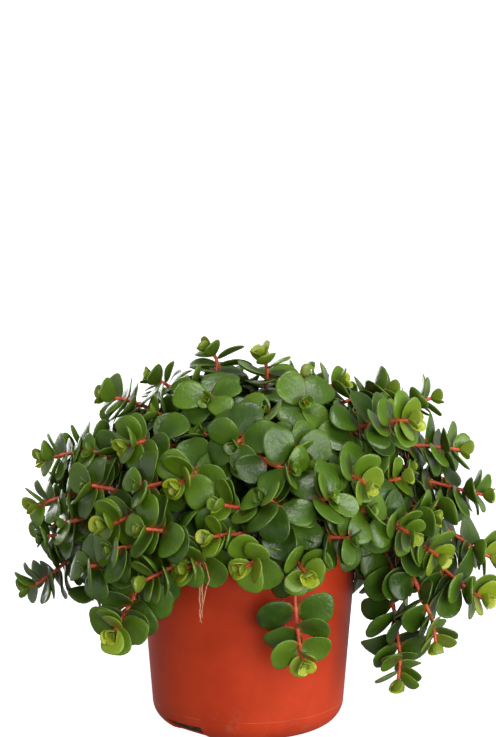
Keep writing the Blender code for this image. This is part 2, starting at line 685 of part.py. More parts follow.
def main():
    clear_scene()
    plant = new_collection("potted_sedum")
    pot_cutters = new_collection("pot_cutters")
    soil_cutters = new_collection("soil_cutters")
    plastic = new_material("pot_plastic", (0.42, 0.043, 0.014), 0.45)
    soil = new_material("soil", (0.035, 0.022, 0.014), 0.95)
    red_stem = new_material("sedum_stem", (0.45, 0.06, 0.02), 0.5)
    green_leaf = new_material("sedum_leaf", (0.06, 0.17, 0.02), 0.35)

    tips = all_tips()
    roots = share_out_roots(tips)
    paths = {name: first_path(roots[name], tip, way) for name, (tip, way) in tips.items()}
    stems = {name: make_stem(name, path) for name, path in part_stems(paths).items()}
    leaves = grow_leaves(stems)

    make_pot(plant, pot_cutters, plastic)
    make_soil(plant, soil_cutters, soil, roots.values())
    for name, stem in stems.items():
        make_shoot(f"shoot_{name}", stem, leaves[name], plant, [red_stem, green_leaf])


main()
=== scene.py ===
import math
import random
from typing import NamedTuple

import bmesh
import bpy
import numpy as np
from mathutils import Matrix, Vector, noise
from mathutils.bvhtree import BVHTree


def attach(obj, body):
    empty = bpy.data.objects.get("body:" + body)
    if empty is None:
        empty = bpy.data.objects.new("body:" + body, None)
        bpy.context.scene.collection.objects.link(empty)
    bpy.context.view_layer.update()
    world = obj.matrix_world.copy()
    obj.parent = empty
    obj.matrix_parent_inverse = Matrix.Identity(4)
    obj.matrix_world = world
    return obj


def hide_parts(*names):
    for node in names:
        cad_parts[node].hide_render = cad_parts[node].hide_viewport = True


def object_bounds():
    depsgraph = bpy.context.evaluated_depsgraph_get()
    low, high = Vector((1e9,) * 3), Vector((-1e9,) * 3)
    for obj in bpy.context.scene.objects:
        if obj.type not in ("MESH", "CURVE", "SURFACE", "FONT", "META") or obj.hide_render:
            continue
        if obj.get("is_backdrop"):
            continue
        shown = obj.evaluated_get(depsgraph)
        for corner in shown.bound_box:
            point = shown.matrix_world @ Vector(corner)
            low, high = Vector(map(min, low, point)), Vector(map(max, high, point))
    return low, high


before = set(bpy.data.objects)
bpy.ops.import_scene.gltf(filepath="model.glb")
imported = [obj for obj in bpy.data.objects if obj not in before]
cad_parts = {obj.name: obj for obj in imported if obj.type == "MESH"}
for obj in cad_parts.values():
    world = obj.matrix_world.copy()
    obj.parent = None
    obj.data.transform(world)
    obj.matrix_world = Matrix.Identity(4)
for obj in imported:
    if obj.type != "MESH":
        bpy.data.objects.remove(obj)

cad_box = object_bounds()
UP = Vector((0, 0, 1))


# The pot is a thin nursery pot of terracotta-coloured polypropylene, moulded in one shot. Its wall flares a
# little, a stepped band stiffens the lip, and round holes and two slots through the bottom corner drain it.

POT_HEIGHT = 0.112
BASE_WALL_RADIUS = 0.049  # where the wall's slope would meet the ground
WALL_SLOPE = 0.08
WALL_THICKNESS = 0.0012
FLOOR_THICKNESS = 0.0015
CORNER_RADIUS = 0.012
LIP_RADIUS = 0.060
LIP_HEIGHT = 0.008
LIP_ROUNDING = 0.0008
LIP_STEP = 0.0004  # the wall's thicker band under the lip
LIP_STEP_FOOT = 0.094
LIP_ROUNDING_STEPS = 4
CORNER_STEPS = 12
POT_STEPS = 160
POT_SHARP = 38  # an edge that turns by more degrees than this stays sharp
SAME_PLACE = 0.00001
DRAIN_HOLES = 6
DRAIN_RADIUS = 0.004
DRAIN_CIRCLE = 0.026
DRAIN_SIDES = 32
DRAIN_DEPTH = 4 * FLOOR_THICKNESS  # of the cutting shape, which reaches past both faces of the floor
SLOT_ANGLES = (-134, 46)
SLOT_WIDTH = 0.025
SLOT_HEIGHT = 0.0075
SLOT_INNER_RADIUS = 0.038
SLOT_ROUNDING = 0.0015
SLOT_ROUNDING_STEPS = 4
PLASTIC = (0.435, 0.038, 0.0095)
PLASTIC_DARK = (0.365, 0.030, 0.0075)
PLASTIC_WORN = (0.52, 0.10, 0.045)
SEAM_FOOT = (0.01150, 0.01175)  # where the mould's two halves met, just above the bottom corner
SEAM_TOP = (0.01190, 0.01215)
DUST = (0.20, 0.13, 0.08)
PLASTIC_SHINE = 0.12
PLASTIC_CLOUDS = (38, 3.0, 0.6)  # a noise's lumps per metre, detail and, unless it is 0.5, roughness
CLOUD_EDGES = (0.30, 0.72)
PLASTIC_GRAIN = (2600, 2.0)
SCUFFS = (520, 5.0, 0.7)
SCUFF_EDGES = (0.62, 0.72)
WORN_AREAS = (60, 2.0)
WORN_EDGES = (0.48, 0.66)
WORN_SHARE = 0.30
DUST_SPECKS = (170, 4.0, 0.65)
DUST_EDGES = (0.50, 0.78)
DUST_HEIGHTS = (0.0, 0.03)  # dust lies at the pot's foot and fades out between these
DUST_SHARE = 0.35
SEAM_BREAKS = (0.42, 0.55)
SEAM_SHARE = 0.6
PLASTIC_ROUGHNESS = 0.40
CLOUD_ROUGHNESS = 0.12
SCUFF_ROUGHNESS = 0.15
CLOUD_HEIGHT = 0.6
SEAM_HEIGHT = 2
PLASTIC_RELIEF = 0.00006


class Value:
    """A socket in a material's node tree. Arithmetic on numbers adds Math nodes."""

    def __init__(self, tree, socket=None):
        self.tree = tree
        self.socket = socket

    def node(self, kind, settings=None, inputs=None, output=0):
        """A new node: its settings first, then the values or links of its sockets."""
        made = self.tree.nodes.new(kind)
        for key, setting in (settings or {}).items():
            setattr(made, key, setting)
        for key, given in (inputs or {}).items():
            if isinstance(given, Value):
                self.tree.links.new(given.socket, made.inputs[key])
            else:
                made.inputs[key].default_value = given
        return Value(self.tree, made.outputs[output])

    def math(self, operation, *inputs):
        return self.node("ShaderNodeMath", {"operation": operation}, dict(enumerate(inputs)))

    def __add__(self, other):
        return self.math("ADD", self, other)

    def __sub__(self, other):
        return self.math("SUBTRACT", self, other)

    def __rsub__(self, other):
        return self.math("SUBTRACT", other, self)

    def __mul__(self, other):
        return self.math("MULTIPLY", self, other)

    __radd__ = __add__
    __rmul__ = __mul__

    def step(self, low, high):
        """0 below the first edge, 1 above the second, and smooth between them."""
        inputs = {"Value": self, "From Min": low, "From Max": high}
        return self.node("ShaderNodeMapRange", {"interpolation_type": "SMOOTHSTEP"}, inputs)

    def mixed(self, first, second):
        """The first colour where this mask is 0, and the second where it is 1."""
        inputs = {0: self}
        for key, colour in ((6, first), (7, second)):
            inputs[key] = colour if isinstance(colour, Value) else (*colour, 1)
        return self.node("ShaderNodeMix", {"data_type": "RGBA"}, inputs, output=2)

    def noise(self, scale, detail, roughness=0.5):
        """Cloudy noise from 0 to 1 over the piece's own coordinates; scale is in lumps per metre."""
        where = self.node("ShaderNodeTexCoord", output="Object")
        inputs = {"Vector": where, "Scale": scale, "Detail": detail, "Roughness": roughness}
        return self.node("ShaderNodeTexNoise", inputs=inputs)

    def parts(self):
        """The three numbers of a vector."""
        made = self.node("ShaderNodeSeparateXYZ", inputs={0: self})
        sockets = made.socket.node.outputs
        return [Value(self.tree, socket) for socket in sockets]

    def attribute(self, name):
        return self.node("ShaderNodeAttribute", {"attribute_name": name}, output="Vector")


def new_material(name, **constants):
    """A Principled material with its constant values set, and a Value to start its nodes from."""
    material = bpy.data.materials.new(name)
    material.use_nodes = True
    shader = material.node_tree.nodes["Principled BSDF"]
    for key, value in constants.items():
        shader.inputs[key.replace("_", " ")].default_value = value
    return material, Value(material.node_tree)


def finish_material(start, colour, roughness, height, distance):
    """Feeds the shader its colour and roughness, and its normal from a height times a distance in metres."""
    shader = start.tree.nodes["Principled BSDF"]
    bump = start.node("ShaderNodeBump", inputs={"Height": height, "Distance": distance, "Strength": 1.0})
    for key, value in (("Base Color", colour), ("Roughness", roughness), ("Normal", bump)):
        start.tree.links.new(value.socket, shader.inputs[key])


def add_object(name, data):
    made = bpy.data.objects.new(name, data)
    bpy.context.scene.collection.objects.link(made)
    return made


def mesh_from(shape, name):
    """Turns a shape that is done into a mesh, and frees it."""
    mesh = bpy.data.meshes.new(name)
    shape.to_mesh(mesh)
    shape.free()
    return mesh


def add_piece(name, mesh, materials, slot, *nodes):
    """A piece of the plant or its pot, which rides on the part's body and stands for these nodes."""
    piece = add_object(name, mesh)
    for material in materials:
        mesh.materials.append(material)
    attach(piece, "root")
    if nodes:
        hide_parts(*nodes)
    return piece


def wall_radius(height):
    return BASE_WALL_RADIUS + WALL_SLOPE * height


def around(radius, turn, height=0):
    """The point at this radius and turn round the pot's axis."""
    return radius * math.cos(turn), radius * math.sin(turn), height


def arc(middle, radius, start, end, steps=8):
    """Points on an arc in the (radius, height) plane, with its angles in degrees."""
    turns = [math.radians(start + (end - start) * i / steps) for i in range(steps + 1)]
    return [(middle[0] + radius * math.cos(turn), middle[1] + radius * math.sin(turn)) for turn in turns]


def turned(profile, steps):
    """A closed skin of revolution from (radius, height) points that start and end on the axis."""
    shape = bmesh.new()
    line = [shape.verts.new((radius, 0, height)) for radius, height in profile]
    edges = [shape.edges.new(pair) for pair in zip(line, line[1:])]
    whole = {"cent": (0, 0, 0), "axis": (0, 0, 1), "angle": 2 * math.pi, "use_merge": True}
    bmesh.ops.spin(shape, geom=line + edges, steps=steps, **whole)
    bmesh.ops.remove_doubles(shape, verts=shape.verts, dist=SAME_PLACE)
    bmesh.ops.recalc_face_normals(shape, faces=shape.faces)
    return shape


def drain_cutters():
    """Round drain holes in the floor and slots through the bottom corner, as one cutting shape."""
    shape = bmesh.new()
    for i in range(DRAIN_HOLES):
        turn = 2 * math.pi * i / DRAIN_HOLES
        size = {"radius1": DRAIN_RADIUS, "radius2": DRAIN_RADIUS, "depth": DRAIN_DEPTH}
        place = Matrix.Translation(around(DRAIN_CIRCLE, turn))
        bmesh.ops.create_cone(shape, cap_ends=True, segments=DRAIN_SIDES, matrix=place, **size)
    reach = LIP_RADIUS - SLOT_INNER_RADIUS
    for degrees in SLOT_ANGLES:
        place = Matrix.Rotation(math.radians(degrees), 4, "Z")
        place @= Matrix.Translation((SLOT_INNER_RADIUS + reach / 2, 0, 0))
        place @= Matrix.Diagonal((reach, SLOT_WIDTH, 2 * SLOT_HEIGHT, 1))
        box = bmesh.ops.create_cube(shape, size=1, matrix=place)["verts"]
        upright = []
        for edge in (edge for vert in box for edge in vert.link_edges):
            if edge not in upright and abs(edge.verts[0].co.z - edge.verts[1].co.z) > SLOT_HEIGHT:
                upright.append(edge)
        rounding = {"offset": SLOT_ROUNDING, "segments": SLOT_ROUNDING_STEPS}
        bmesh.ops.bevel(shape, geom=upright, affect="EDGES", **rounding)
    return add_object("drain_cutters", mesh_from(shape, "drain_cutters"))


lip_foot = POT_HEIGHT - LIP_HEIGHT
mouth = wall_radius(POT_HEIGHT) - WALL_THICKNESS
corner_middle = (wall_radius(CORNER_RADIUS) - CORNER_RADIUS, CORNER_RADIUS)
inner_corner = (corner_middle[0], CORNER_RADIUS + FLOOR_THICKNESS)
pot_profile = [
    (0, FLOOR_THICKNESS),
    *arc(inner_corner, CORNER_RADIUS - WALL_THICKNESS, -90, 0),
    *arc((mouth + LIP_ROUNDING, POT_HEIGHT - LIP_ROUNDING), LIP_ROUNDING, 180, 90, LIP_ROUNDING_STEPS),
    *arc((LIP_RADIUS - LIP_ROUNDING, POT_HEIGHT - LIP_ROUNDING), LIP_ROUNDING, 90, 0, LIP_ROUNDING_STEPS),
    *arc((LIP_RADIUS - LIP_ROUNDING, lip_foot + LIP_ROUNDING), LIP_ROUNDING, 0, -90, LIP_ROUNDING_STEPS),
    (wall_radius(lip_foot) + LIP_STEP, lip_foot),
    (wall_radius(LIP_STEP_FOOT) + LIP_STEP, LIP_STEP_FOOT + LIP_STEP),
    (wall_radius(LIP_STEP_FOOT), LIP_STEP_FOOT),
    *arc(corner_middle, CORNER_RADIUS, 0, -90, CORNER_STEPS),
    (0, 0),
]
pot_mesh = mesh_from(turned(pot_profile, POT_STEPS), "pot_skin")

plastic, start = new_material("terracotta_plastic", Specular_IOR_Level=PLASTIC_SHINE)
height_on_pot = start.node("ShaderNodeTexCoord", output="Object").parts()[2]
cloud = start.noise(*PLASTIC_CLOUDS)
grain = start.noise(*PLASTIC_GRAIN)
scuffs = start.noise(*SCUFFS).step(*SCUFF_EDGES) * start.noise(*WORN_AREAS).step(*WORN_EDGES)
dusty = start.noise(*DUST_SPECKS).step(*DUST_EDGES) * (1 - height_on_pot.step(*DUST_HEIGHTS))
tone = cloud.step(*CLOUD_EDGES).mixed(PLASTIC_DARK, PLASTIC)
tone = (scuffs * WORN_SHARE).mixed(tone, PLASTIC_WORN)
tone = (dusty * DUST_SHARE).mixed(tone, DUST)
seam = height_on_pot.step(*SEAM_FOOT) * (1 - height_on_pot.step(*SEAM_TOP))
tone = (seam * cloud.step(*SEAM_BREAKS) * SEAM_SHARE).mixed(tone, PLASTIC_WORN)
roughness = PLASTIC_ROUGHNESS + CLOUD_ROUGHNESS * cloud + SCUFF_ROUGHNESS * scuffs
finish_material(start, tone, roughness, grain + CLOUD_HEIGHT * cloud + SEAM_HEIGHT * seam, PLASTIC_RELIEF)

pot = add_piece("nursery_pot", pot_mesh, [plastic], "pot", "pot")
cutters = drain_cutters()
cut = pot.modifiers.new("Drains", "BOOLEAN")
cut.object = cutters
cut.operation = "DIFFERENCE"
cut.solver = "EXACT"
bpy.context.view_layer.update()
pierced = bpy.data.meshes.new_from_object(pot.evaluated_get(bpy.context.evaluated_depsgraph_get()))
pot.modifiers.clear()
pot.data = pierced
bpy.data.objects.remove(cutters)
pierced.shade_smooth()
pierced.set_sharp_from_angle(angle=math.radians(POT_SHARP))


# The soil is dark peat with a few bark chips and pale grains. It fills the pot's inside, and its rough top
# lies a little under the lip, crowned towards the middle, where the stems stand in it.

SOIL_TOP = 0.100
SOIL_CROWN = 0.003
SOIL_GAP = 0.0003
SOIL_ROUGHNESS = 0.0012
SOIL_STEPS = 120
SOIL_RINGS = 40
SOIL_CORNER_STEPS = 14
SOIL_SHARP = 50
CROWN_POWER = 4  # the crown is flat in the middle and falls off near the pot
ROUGH_DEPTH = 0.001  # what lies less than this under the soil's level is its top, and is rough
ROUGH_REACH = 0.995  # as a share of the way out to its edge
SOIL_LUMPS = 260
SOIL_GRAINS = 700
GRAIN_SHARE = 0.6
ROUGH_LEVEL = 0.6
BULGE = 0.0014  # how far the soil swells out through the drain slots
BULGE_MARGIN = 0.0015
BULGE_TOP_MARGIN = 0.0010
BULGE_ROUGHNESS = 0.0003
ROOT_CIRCLE = 0.046
CRUMBS = 420
CRUMB_SIZES = (0.0006, 0.0019)
CRUMB_LENGTHS = (0.8, 1.8)  # as shares of its size
CRUMB_HEIGHTS = (0.4, 0.9)
CRUMB_REACH = 0.95
CRUMB_DEPTH = 0.0006
CRUMB_ROUGHNESS = 0.25
CRUMB_LUMPS = 900
CRUMB_SEED = 1
PEAT = (0.022, 0.013, 0.008)
PEAT_PALE = (0.075, 0.048, 0.030)
PALE_GRAIN = (0.45, 0.42, 0.36)
PEAT_SHINE = 0.25
PEAT_LUMPS = (420, 6.0, 0.7)
PEAT_EDGES = (0.40, 0.75)
PALE_GRAINS = (900, 1.0)
PALE_EDGES = (0.70, 0.74)
PEAT_ROUGHNESS = 0.95
LUMP_SMOOTHNESS = 0.1
PEAT_RELIEF = 0.0012


def crown(share):
    """How far the soil rises over its edge, at this share of the way out from the middle."""
    return SOIL_CROWN * (1 - share**CROWN_POWER)


noise.seed_set(CRUMB_SEED)
inset = WALL_THICKNESS + SOIL_GAP
soil_reach = wall_radius(SOIL_TOP) - inset
soil_corner = (inner_corner[0], inner_corner[1] + SOIL_GAP)
soil_profile = [(soil_reach * i / SOIL_RINGS, SOIL_TOP) for i in range(SOIL_RINGS + 1)]
soil_profile += arc(soil_corner, CORNER_RADIUS - inset, 0, -90, SOIL_CORNER_STEPS)
soil_profile += [(0, FLOOR_THICKNESS + SOIL_GAP)]
soil_shape = turned(soil_profile, SOIL_STEPS)
for vert in soil_shape.verts:
    reach = math.hypot(vert.co.x, vert.co.y) / soil_reach
    if vert.co.z > SOIL_TOP - ROUGH_DEPTH and reach < ROUGH_REACH:
        rough = noise.noise(vert.co * SOIL_LUMPS) + GRAIN_SHARE * noise.noise(vert.co * SOIL_GRAINS)
        vert.co.z += crown(reach) + SOIL_ROUGHNESS * (rough - ROUGH_LEVEL)
for degrees in SLOT_ANGLES:
    middle = Vector(around(1, math.radians(degrees)))
    for vert in soil_shape.verts:
        beside = abs(vert.co.dot(UP.cross(middle))) >= SLOT_WIDTH / 2 - BULGE_MARGIN
        above = vert.co.z >= SLOT_HEIGHT - BULGE_TOP_MARGIN
        if vert.co.dot(middle) > SLOT_INNER_RADIUS and not beside and not above:
            level = Vector((vert.co.x, vert.co.y, 0)).normalized()
            vert.co += BULGE * (vert.co - level * soil_corner[0] - UP * soil_corner[1]).normalized()
            vert.co += BULGE_ROUGHNESS * noise.noise_vector(vert.co * CRUMB_LUMPS)
draw = random.Random("crumbs")
for _ in range(CRUMBS):
    radius = soil_reach * CRUMB_REACH * math.sqrt(draw.random())
    turn = draw.uniform(0, 2 * math.pi)
    level = SOIL_TOP + crown(radius / soil_reach) - CRUMB_DEPTH
    place = Matrix.Translation(around(radius, turn, level))
    place @= Matrix.Rotation(draw.uniform(0, math.pi), 4, draw.choice("XYZ"))
    size = draw.uniform(*CRUMB_SIZES)
    length = size * draw.uniform(*CRUMB_LENGTHS)
    place @= Matrix.Diagonal((length, size, size * draw.uniform(*CRUMB_HEIGHTS), 1))
    crumb = bmesh.ops.create_icosphere(soil_shape, subdivisions=1, radius=1, matrix=place)["verts"]
    for vert in crumb:
        vert.co += CRUMB_ROUGHNESS * size * noise.noise_vector(vert.co * CRUMB_LUMPS)
soil_mesh = mesh_from(soil_shape, "soil_skin")
soil_mesh.shade_smooth()
soil_mesh.set_sharp_from_angle(angle=math.radians(SOIL_SHARP))

peat, start = new_material("peat", Specular_IOR_Level=PEAT_SHINE)
lumps = start.noise(*PEAT_LUMPS)
pale_grains = start.noise(*PALE_GRAINS).step(*PALE_EDGES)
tone = lumps.step(*PEAT_EDGES).mixed(PEAT, PEAT_PALE)
tone = pale_grains.mixed(tone, PALE_GRAIN)
finish_material(start, tone, PEAT_ROUGHNESS - LUMP_SMOOTHNESS * lumps, lumps, PEAT_RELIEF)
add_piece("potting_soil", soil_mesh, [peat], "soil", "soil")


# The stems are thin, round and orange-red, each one grown up from the soil and out over the rim, where it
# trails. They lie where the solid shoots lie, so the same rule grows them: known tips in front and along the
# outline, the others by the golden angle, and all of them bent clear of each other and of the pot.

GOLDEN_ANGLE = math.radians(137.508)
HOLE_DEPTH = 0.010
STEM_RADIUS = 0.0016
STEM_TIP_SHARE = 0.5
STEM_STEP = 0.016
STEM_CLEARANCE = 0.0056
POT_CLEARANCE = 0.0065
STEM_POINTS = 25
UPRIGHT_POINTS = 4
TIP_POINTS = 3
CLEARING_ROUNDS = 60
STEM_STIFFNESS = 0.12
LEAST_DISTANCE = 1e-9
ARCH_POINTS = 40
ARCH_FOOT = 0.002
LEAST_RISE = 0.02
LEAST_CLIMB = 0.010
CLIMB_PER_RISE = 0.45
CLIMB_PER_REACH = 0.35
ARCH_LEAN = 0.1
RUN_SHARE = 0.30
RUN_PER_DROP = 0.35
SHOOT_TOTAL = 53
BARE_FOOT = 0.016
EDGE_ROOT_TIP = 0.125
MIDDLE_ROOT_TIP = 0.200
CANOPY_MIDDLE = Vector((0, 0, 0.092))
CANOPY_RADIUS = 0.114
CANOPY_RISE = 0.092
CANOPY_DROP = 0.085
CANOPY_TOP_SHARE = 0.96
CANOPY_LOW_SHARE = -0.40
HEADING_LEVEL = 0.8
HEADING_LIFT = 1.5
HEADING_DROOP = 0.9
POT_FRONT_SHARE = 0.5
CANOPY_PLACES = 90
FILLING_SPACING = 0.046
FILLING_TIGHTENING = 0.94
PAIR_OFFSETS = (0.0010, 0.0046, 0.0105, 0.0185, 0.0285)  # of the leaf joints, down from a stem's tip
LOWER_OFFSETS = (0.0390, 0.0500, 0.0620, 0.0750)  # of the joints hidden further down
BETWEEN_OFFSETS = (0.0027, 0.0073, 0.0142, 0.0232, 0.0337)  # of finer pairs between the others
BETWEEN_TURN = 45  # how far those stand round the stem from the others, in degrees
PAIR_TURN = 45
PAIR_TURN_SPREAD = 22
JOINT_HALF = 0.0010
BARE_STRETCH = HOLE_DEPTH + BARE_FOOT
FOOT_RING = HOLE_DEPTH + ARCH_FOOT / 2

KNOWN_TIPS = {  # each with its place and its heading
    "crest_left": ((-0.021, 0.015, 0.193), (-0.8, 0.0, 0.5)),
    "crest_middle": ((0.007, 0.000, 0.192), (-0.5, -0.1, 0.8)),
    "upper_left": ((-0.073, 0.000, 0.170), (-1.0, -0.1, 0.1)),
    "left_high": ((-0.104, -0.010, 0.140), (-1.0, -0.2, -0.15)),
    "left_middle": ((-0.108, -0.022, 0.118), (-0.9, -0.5, -0.1)),
    "left_low": ((-0.113, -0.018, 0.074), (-0.9, -0.1, -0.3)),
    "left_rosette": ((-0.066, -0.078, 0.066), (-0.3, -0.95, -0.2)),
    "left_inner": ((-0.080, -0.045, 0.094), (-0.8, -0.5, -0.4)),
    "right_inner": ((0.096, -0.046, 0.096), (0.8, -0.5, -0.5)),
    "front_left_high": ((-0.070, -0.072, 0.118), (-1.0, -0.25, 0.0)),
    "front_left_low": ((-0.030, -0.094, 0.102), (-1.0, -0.25, 0.0)),
    "front_middle": ((-0.002, -0.100, 0.104), (-1.0, -0.25, 0.0)),
    "front_rosette": ((0.028, -0.095, 0.099), (0.3, -1.0, -0.2)),
    "front_trailing": ((0.027, -0.084, 0.053), (0.2, -0.85, -0.5)),
    "right_rosette": ((0.080, -0.067, 0.112), (0.7, -0.8, -0.4)),
    "right_high": ((0.080, -0.055, 0.167), (0.9, -0.4, 0.1)),
    "upper_right": ((0.096, 0.010, 0.168), (0.9, 0.0, 0.3)),
    "side_high": ((0.110, -0.004, 0.143), (1.0, -0.1, -0.1)),
    "side_middle": ((0.122, -0.006, 0.120), (1.0, -0.1, -0.1)),
    "side_low": ((0.126, -0.008, 0.087), (0.9, -0.2, -0.4)),
    "side_rosette": ((0.119, -0.038, 0.073), (0.7, -0.6, -0.2)),
    "right_trailing": ((0.076, -0.037, 0.030), (-0.2, -0.3, -1.0)),
    "right_hanging": ((0.094, -0.047, 0.052), (0.0, -0.2, -1.0)),
    "crest_right": ((0.048, 0.005, 0.177), (0.8, -0.2, 0.3)),
    "crest_far_right": ((0.074, 0.018, 0.171), (0.9, 0.0, 0.2)),
    "crest_far_left": ((-0.050, 0.018, 0.177), (-0.9, 0.0, 0.25)),
    "brow_middle": ((-0.006, -0.070, 0.158), (-0.5, -0.6, -0.3)),
    "brow_left": ((-0.034, -0.082, 0.140), (-0.7, -0.5, -0.45)),
    "brow_right": ((0.026, -0.068, 0.152), (0.35, -0.7, -0.4)),
    "brow_far_left": ((-0.060, -0.054, 0.154), (-0.8, -0.4, -0.25)),
    "brow_far_right": ((0.058, -0.074, 0.138), (0.6, -0.5, -0.5)),
    "crown_left": ((-0.020, -0.038, 0.175), (-0.4, -0.8, 0.1)),
    "crown_right": ((0.028, -0.036, 0.173), (0.3, -0.8, 0.1)),
}


class Stem(NamedTuple):
    path: np.ndarray
    rings: list  # four corners each, from the foot up
    ways: list  # the stem's direction at each ring
    joints: list  # the ring under each pair of leaves, from the tip down


def canopy_tip(turn, height_share):
    """A tip on the canopy: its place, and a heading that rises at the crown and droops at the skirt."""
    level = Vector(around(1, turn))
    flat = math.sqrt(1 - height_share**2)
    rise = CANOPY_RISE if height_share > 0 else CANOPY_DROP
    place = CANOPY_MIDDLE + level * CANOPY_RADIUS * flat + UP * rise * height_share
    return place, (HEADING_LEVEL * level + UP * (HEADING_LIFT * height_share - HEADING_DROOP)).normalized()


def in_front_of_pot(place):
    return place.y < -POT_FRONT_SHARE * LIP_RADIUS and place.z < POT_HEIGHT


def all_tips():
    """The known tips, then tips by the golden angle over what those leave bare, save in front of the pot."""
    tips = {name: (Vector(tip), Vector(way).normalized()) for name, (tip, way) in KNOWN_TIPS.items()}
    spacing = FILLING_SPACING
    while len(tips) < SHOOT_TOTAL:
        for i in range(CANOPY_PLACES):
            down = (i + 0.5) / CANOPY_PLACES
            share = CANOPY_TOP_SHARE + (CANOPY_LOW_SHARE - CANOPY_TOP_SHARE) * down
            place, way = canopy_tip(i * GOLDEN_ANGLE, share)
            if len(tips) == SHOOT_TOTAL or in_front_of_pot(place):
                continue
            if min((place - other).length for other, _ in tips.values()) > spacing:
                tips[f"filling_{len(tips) - len(KNOWN_TIPS) + 1:02d}"] = (place, way)
        spacing *= FILLING_TIGHTENING
    return tips


def share_out_roots(tips):
    """Roots lie like sunflower seeds; high shoots take the inner ones and low shoots the outer ones."""
    free = []
    for i in range(len(tips)):
        radius = ROOT_CIRCLE * math.sqrt((i + 0.5) / len(tips))
        free.append(Vector(around(radius, i * GOLDEN_ANGLE)))
    roots = {}
    for name, (tip, _) in sorted(tips.items(), key=lambda item: item[1][0].z):
        level = Vector((tip.x, tip.y, 0))
        lowness = (MIDDLE_ROOT_TIP - tip.z) / (MIDDLE_ROOT_TIP - EDGE_ROOT_TIP)
        wanted = level.normalized() * min(ROOT_CIRCLE * min(1, lowness), level.length)
        root = min(free, key=lambda spot: (spot - wanted).length)
        free.remove(root)
        roots[name] = root + UP * (SOIL_TOP + SOIL_CROWN - HOLE_DEPTH)
    return roots


def bezier(points, count):
    a, b, c, d = (np.array(point) for point in points)
    t = np.linspace(0, 1, count)[:, None]
    return (1 - t) ** 3 * a + 3 * t * (1 - t) ** 2 * b + 3 * t**2 * (1 - t) * c + t**3 * d


def runs_along(line):
    return np.concatenate([[0], np.cumsum(np.linalg.norm(np.diff(line, axis=0), axis=1))])


def at_runs(line, wanted):
    """Points of the line at these distances from its start."""
    runs = runs_along(line)
    return np.stack([np.interp(wanted, runs, line[:, i]) for i in range(3)], axis=1)


def first_path(root, tip, way):
    """A stem that leaves the soil upright, arches over the rim and arrives at its tip along its heading."""
    foot = root + UP * (HOLE_DEPTH + ARCH_FOOT)
    outward = Vector((tip.x - root.x, tip.y - root.y, 0))
    rise = max(LEAST_RISE, tip.z - foot.z)
    climb = CLIMB_PER_RISE * rise + CLIMB_PER_REACH * outward.length + LEAST_CLIMB
    run = RUN_SHARE * (tip - foot).length + RUN_PER_DROP * max(0, foot.z - tip.z)
    arch = bezier((foot, foot + UP * climb + ARCH_LEAN * outward, tip - way * run, tip), ARCH_POINTS)
    line = np.vstack([np.array(root)[None], arch])
    return at_runs(line, np.linspace(0, runs_along(line)[-1], STEM_POINTS))


def push_off_pot(points):
    """Keeps a stem inside the mouth, over the lip and outside the wall."""
    inside = mouth - POT_CLEARANCE
    for point in points:
        radius = math.hypot(point[0], point[1])
        if point[2] > POT_HEIGHT + POT_CLEARANCE or radius < inside:
            continue
        if radius < LIP_RADIUS:
            point[2] = POT_HEIGHT + POT_CLEARANCE
        elif radius < LIP_RADIUS + POT_CLEARANCE:
            point[:2] *= (LIP_RADIUS + POT_CLEARANCE) / radius


def part_stems(paths):
    """Bends stems clear of each other and of the pot, with their feet and tips held."""
    stack = np.array(list(paths.values()))
    shoots, count, _ = stack.shape
    owner = np.repeat(np.arange(shoots), count)
    for _ in range(CLEARING_ROUNDS):
        flat = stack.reshape(-1, 3)
        apart = flat[:, None] - flat[None]
        distance = np.linalg.norm(apart, axis=2) + LEAST_DISTANCE
        close = (distance < STEM_CLEARANCE) & (owner[:, None] != owner[None])
        push = np.where(close, (STEM_CLEARANCE - distance) / distance, 0)[..., None] * apart * 0.5
        moved = (flat + push.sum(axis=1)).reshape(stack.shape)
        moved[:, 1:-1] += STEM_STIFFNESS * (moved[:, 2:] + moved[:, :-2] - 2 * moved[:, 1:-1])
        moved[:, :UPRIGHT_POINTS] = stack[:, :UPRIGHT_POINTS]
        moved[:, -TIP_POINTS:] = stack[:, -TIP_POINTS:]
        for path in moved:
            push_off_pot(path[UPRIGHT_POINTS:-TIP_POINTS])
        stack = moved
    return dict(zip(paths, stack))


def make_stem(name, path, offsets=PAIR_OFFSETS, bare=BARE_STRETCH, foot=FOOT_RING, turned_by=0):
    """Square rings along a path: two close ones at each leaf joint, and wide steps down to the foot."""
    length = runs_along(path)[-1]
    joints = [length - offset for offset in offsets if length - offset > bare]
    stretch = joints[-1] - JOINT_HALF - foot
    steps = math.ceil(stretch / STEM_STEP)
    runs = [0, *(foot + stretch * i / steps for i in range(steps))]
    for run in reversed(joints):
        runs += [run - JOINT_HALF, run + JOINT_HALF]
    runs = np.array(runs)
    places = at_runs(path, runs)
    reach = 2 * STEM_RADIUS
    ways = at_runs(path, np.minimum(runs + reach, length)) - at_runs(path, np.maximum(runs - reach, 0))
    turn = PAIR_TURN + turned_by + random.Random(name).uniform(-PAIR_TURN_SPREAD, PAIR_TURN_SPREAD)
    turn = math.radians(turn) + math.atan2(path[-1][1], path[-1][0])
    side = Vector(around(1, turn))
    rings = []
    directions = []
    for run, place, way in zip(runs, places, ways):
        way = Vector(way).normalized()
        side = (side - way * side.dot(way)).normalized()
        other = way.cross(side)
        radius = STEM_RADIUS * float(1 - (1 - STEM_TIP_SHARE) * run / length)
        corners = [math.radians(90 * k - 45) for k in range(4)]
        rings.append([Vector(place) + radius * (side * math.cos(c) + other * math.sin(c)) for c in corners])
        directions.append(way)
    return Stem(path, rings, directions, [len(runs) - 2 * i - 2 for i in range(len(joints))])


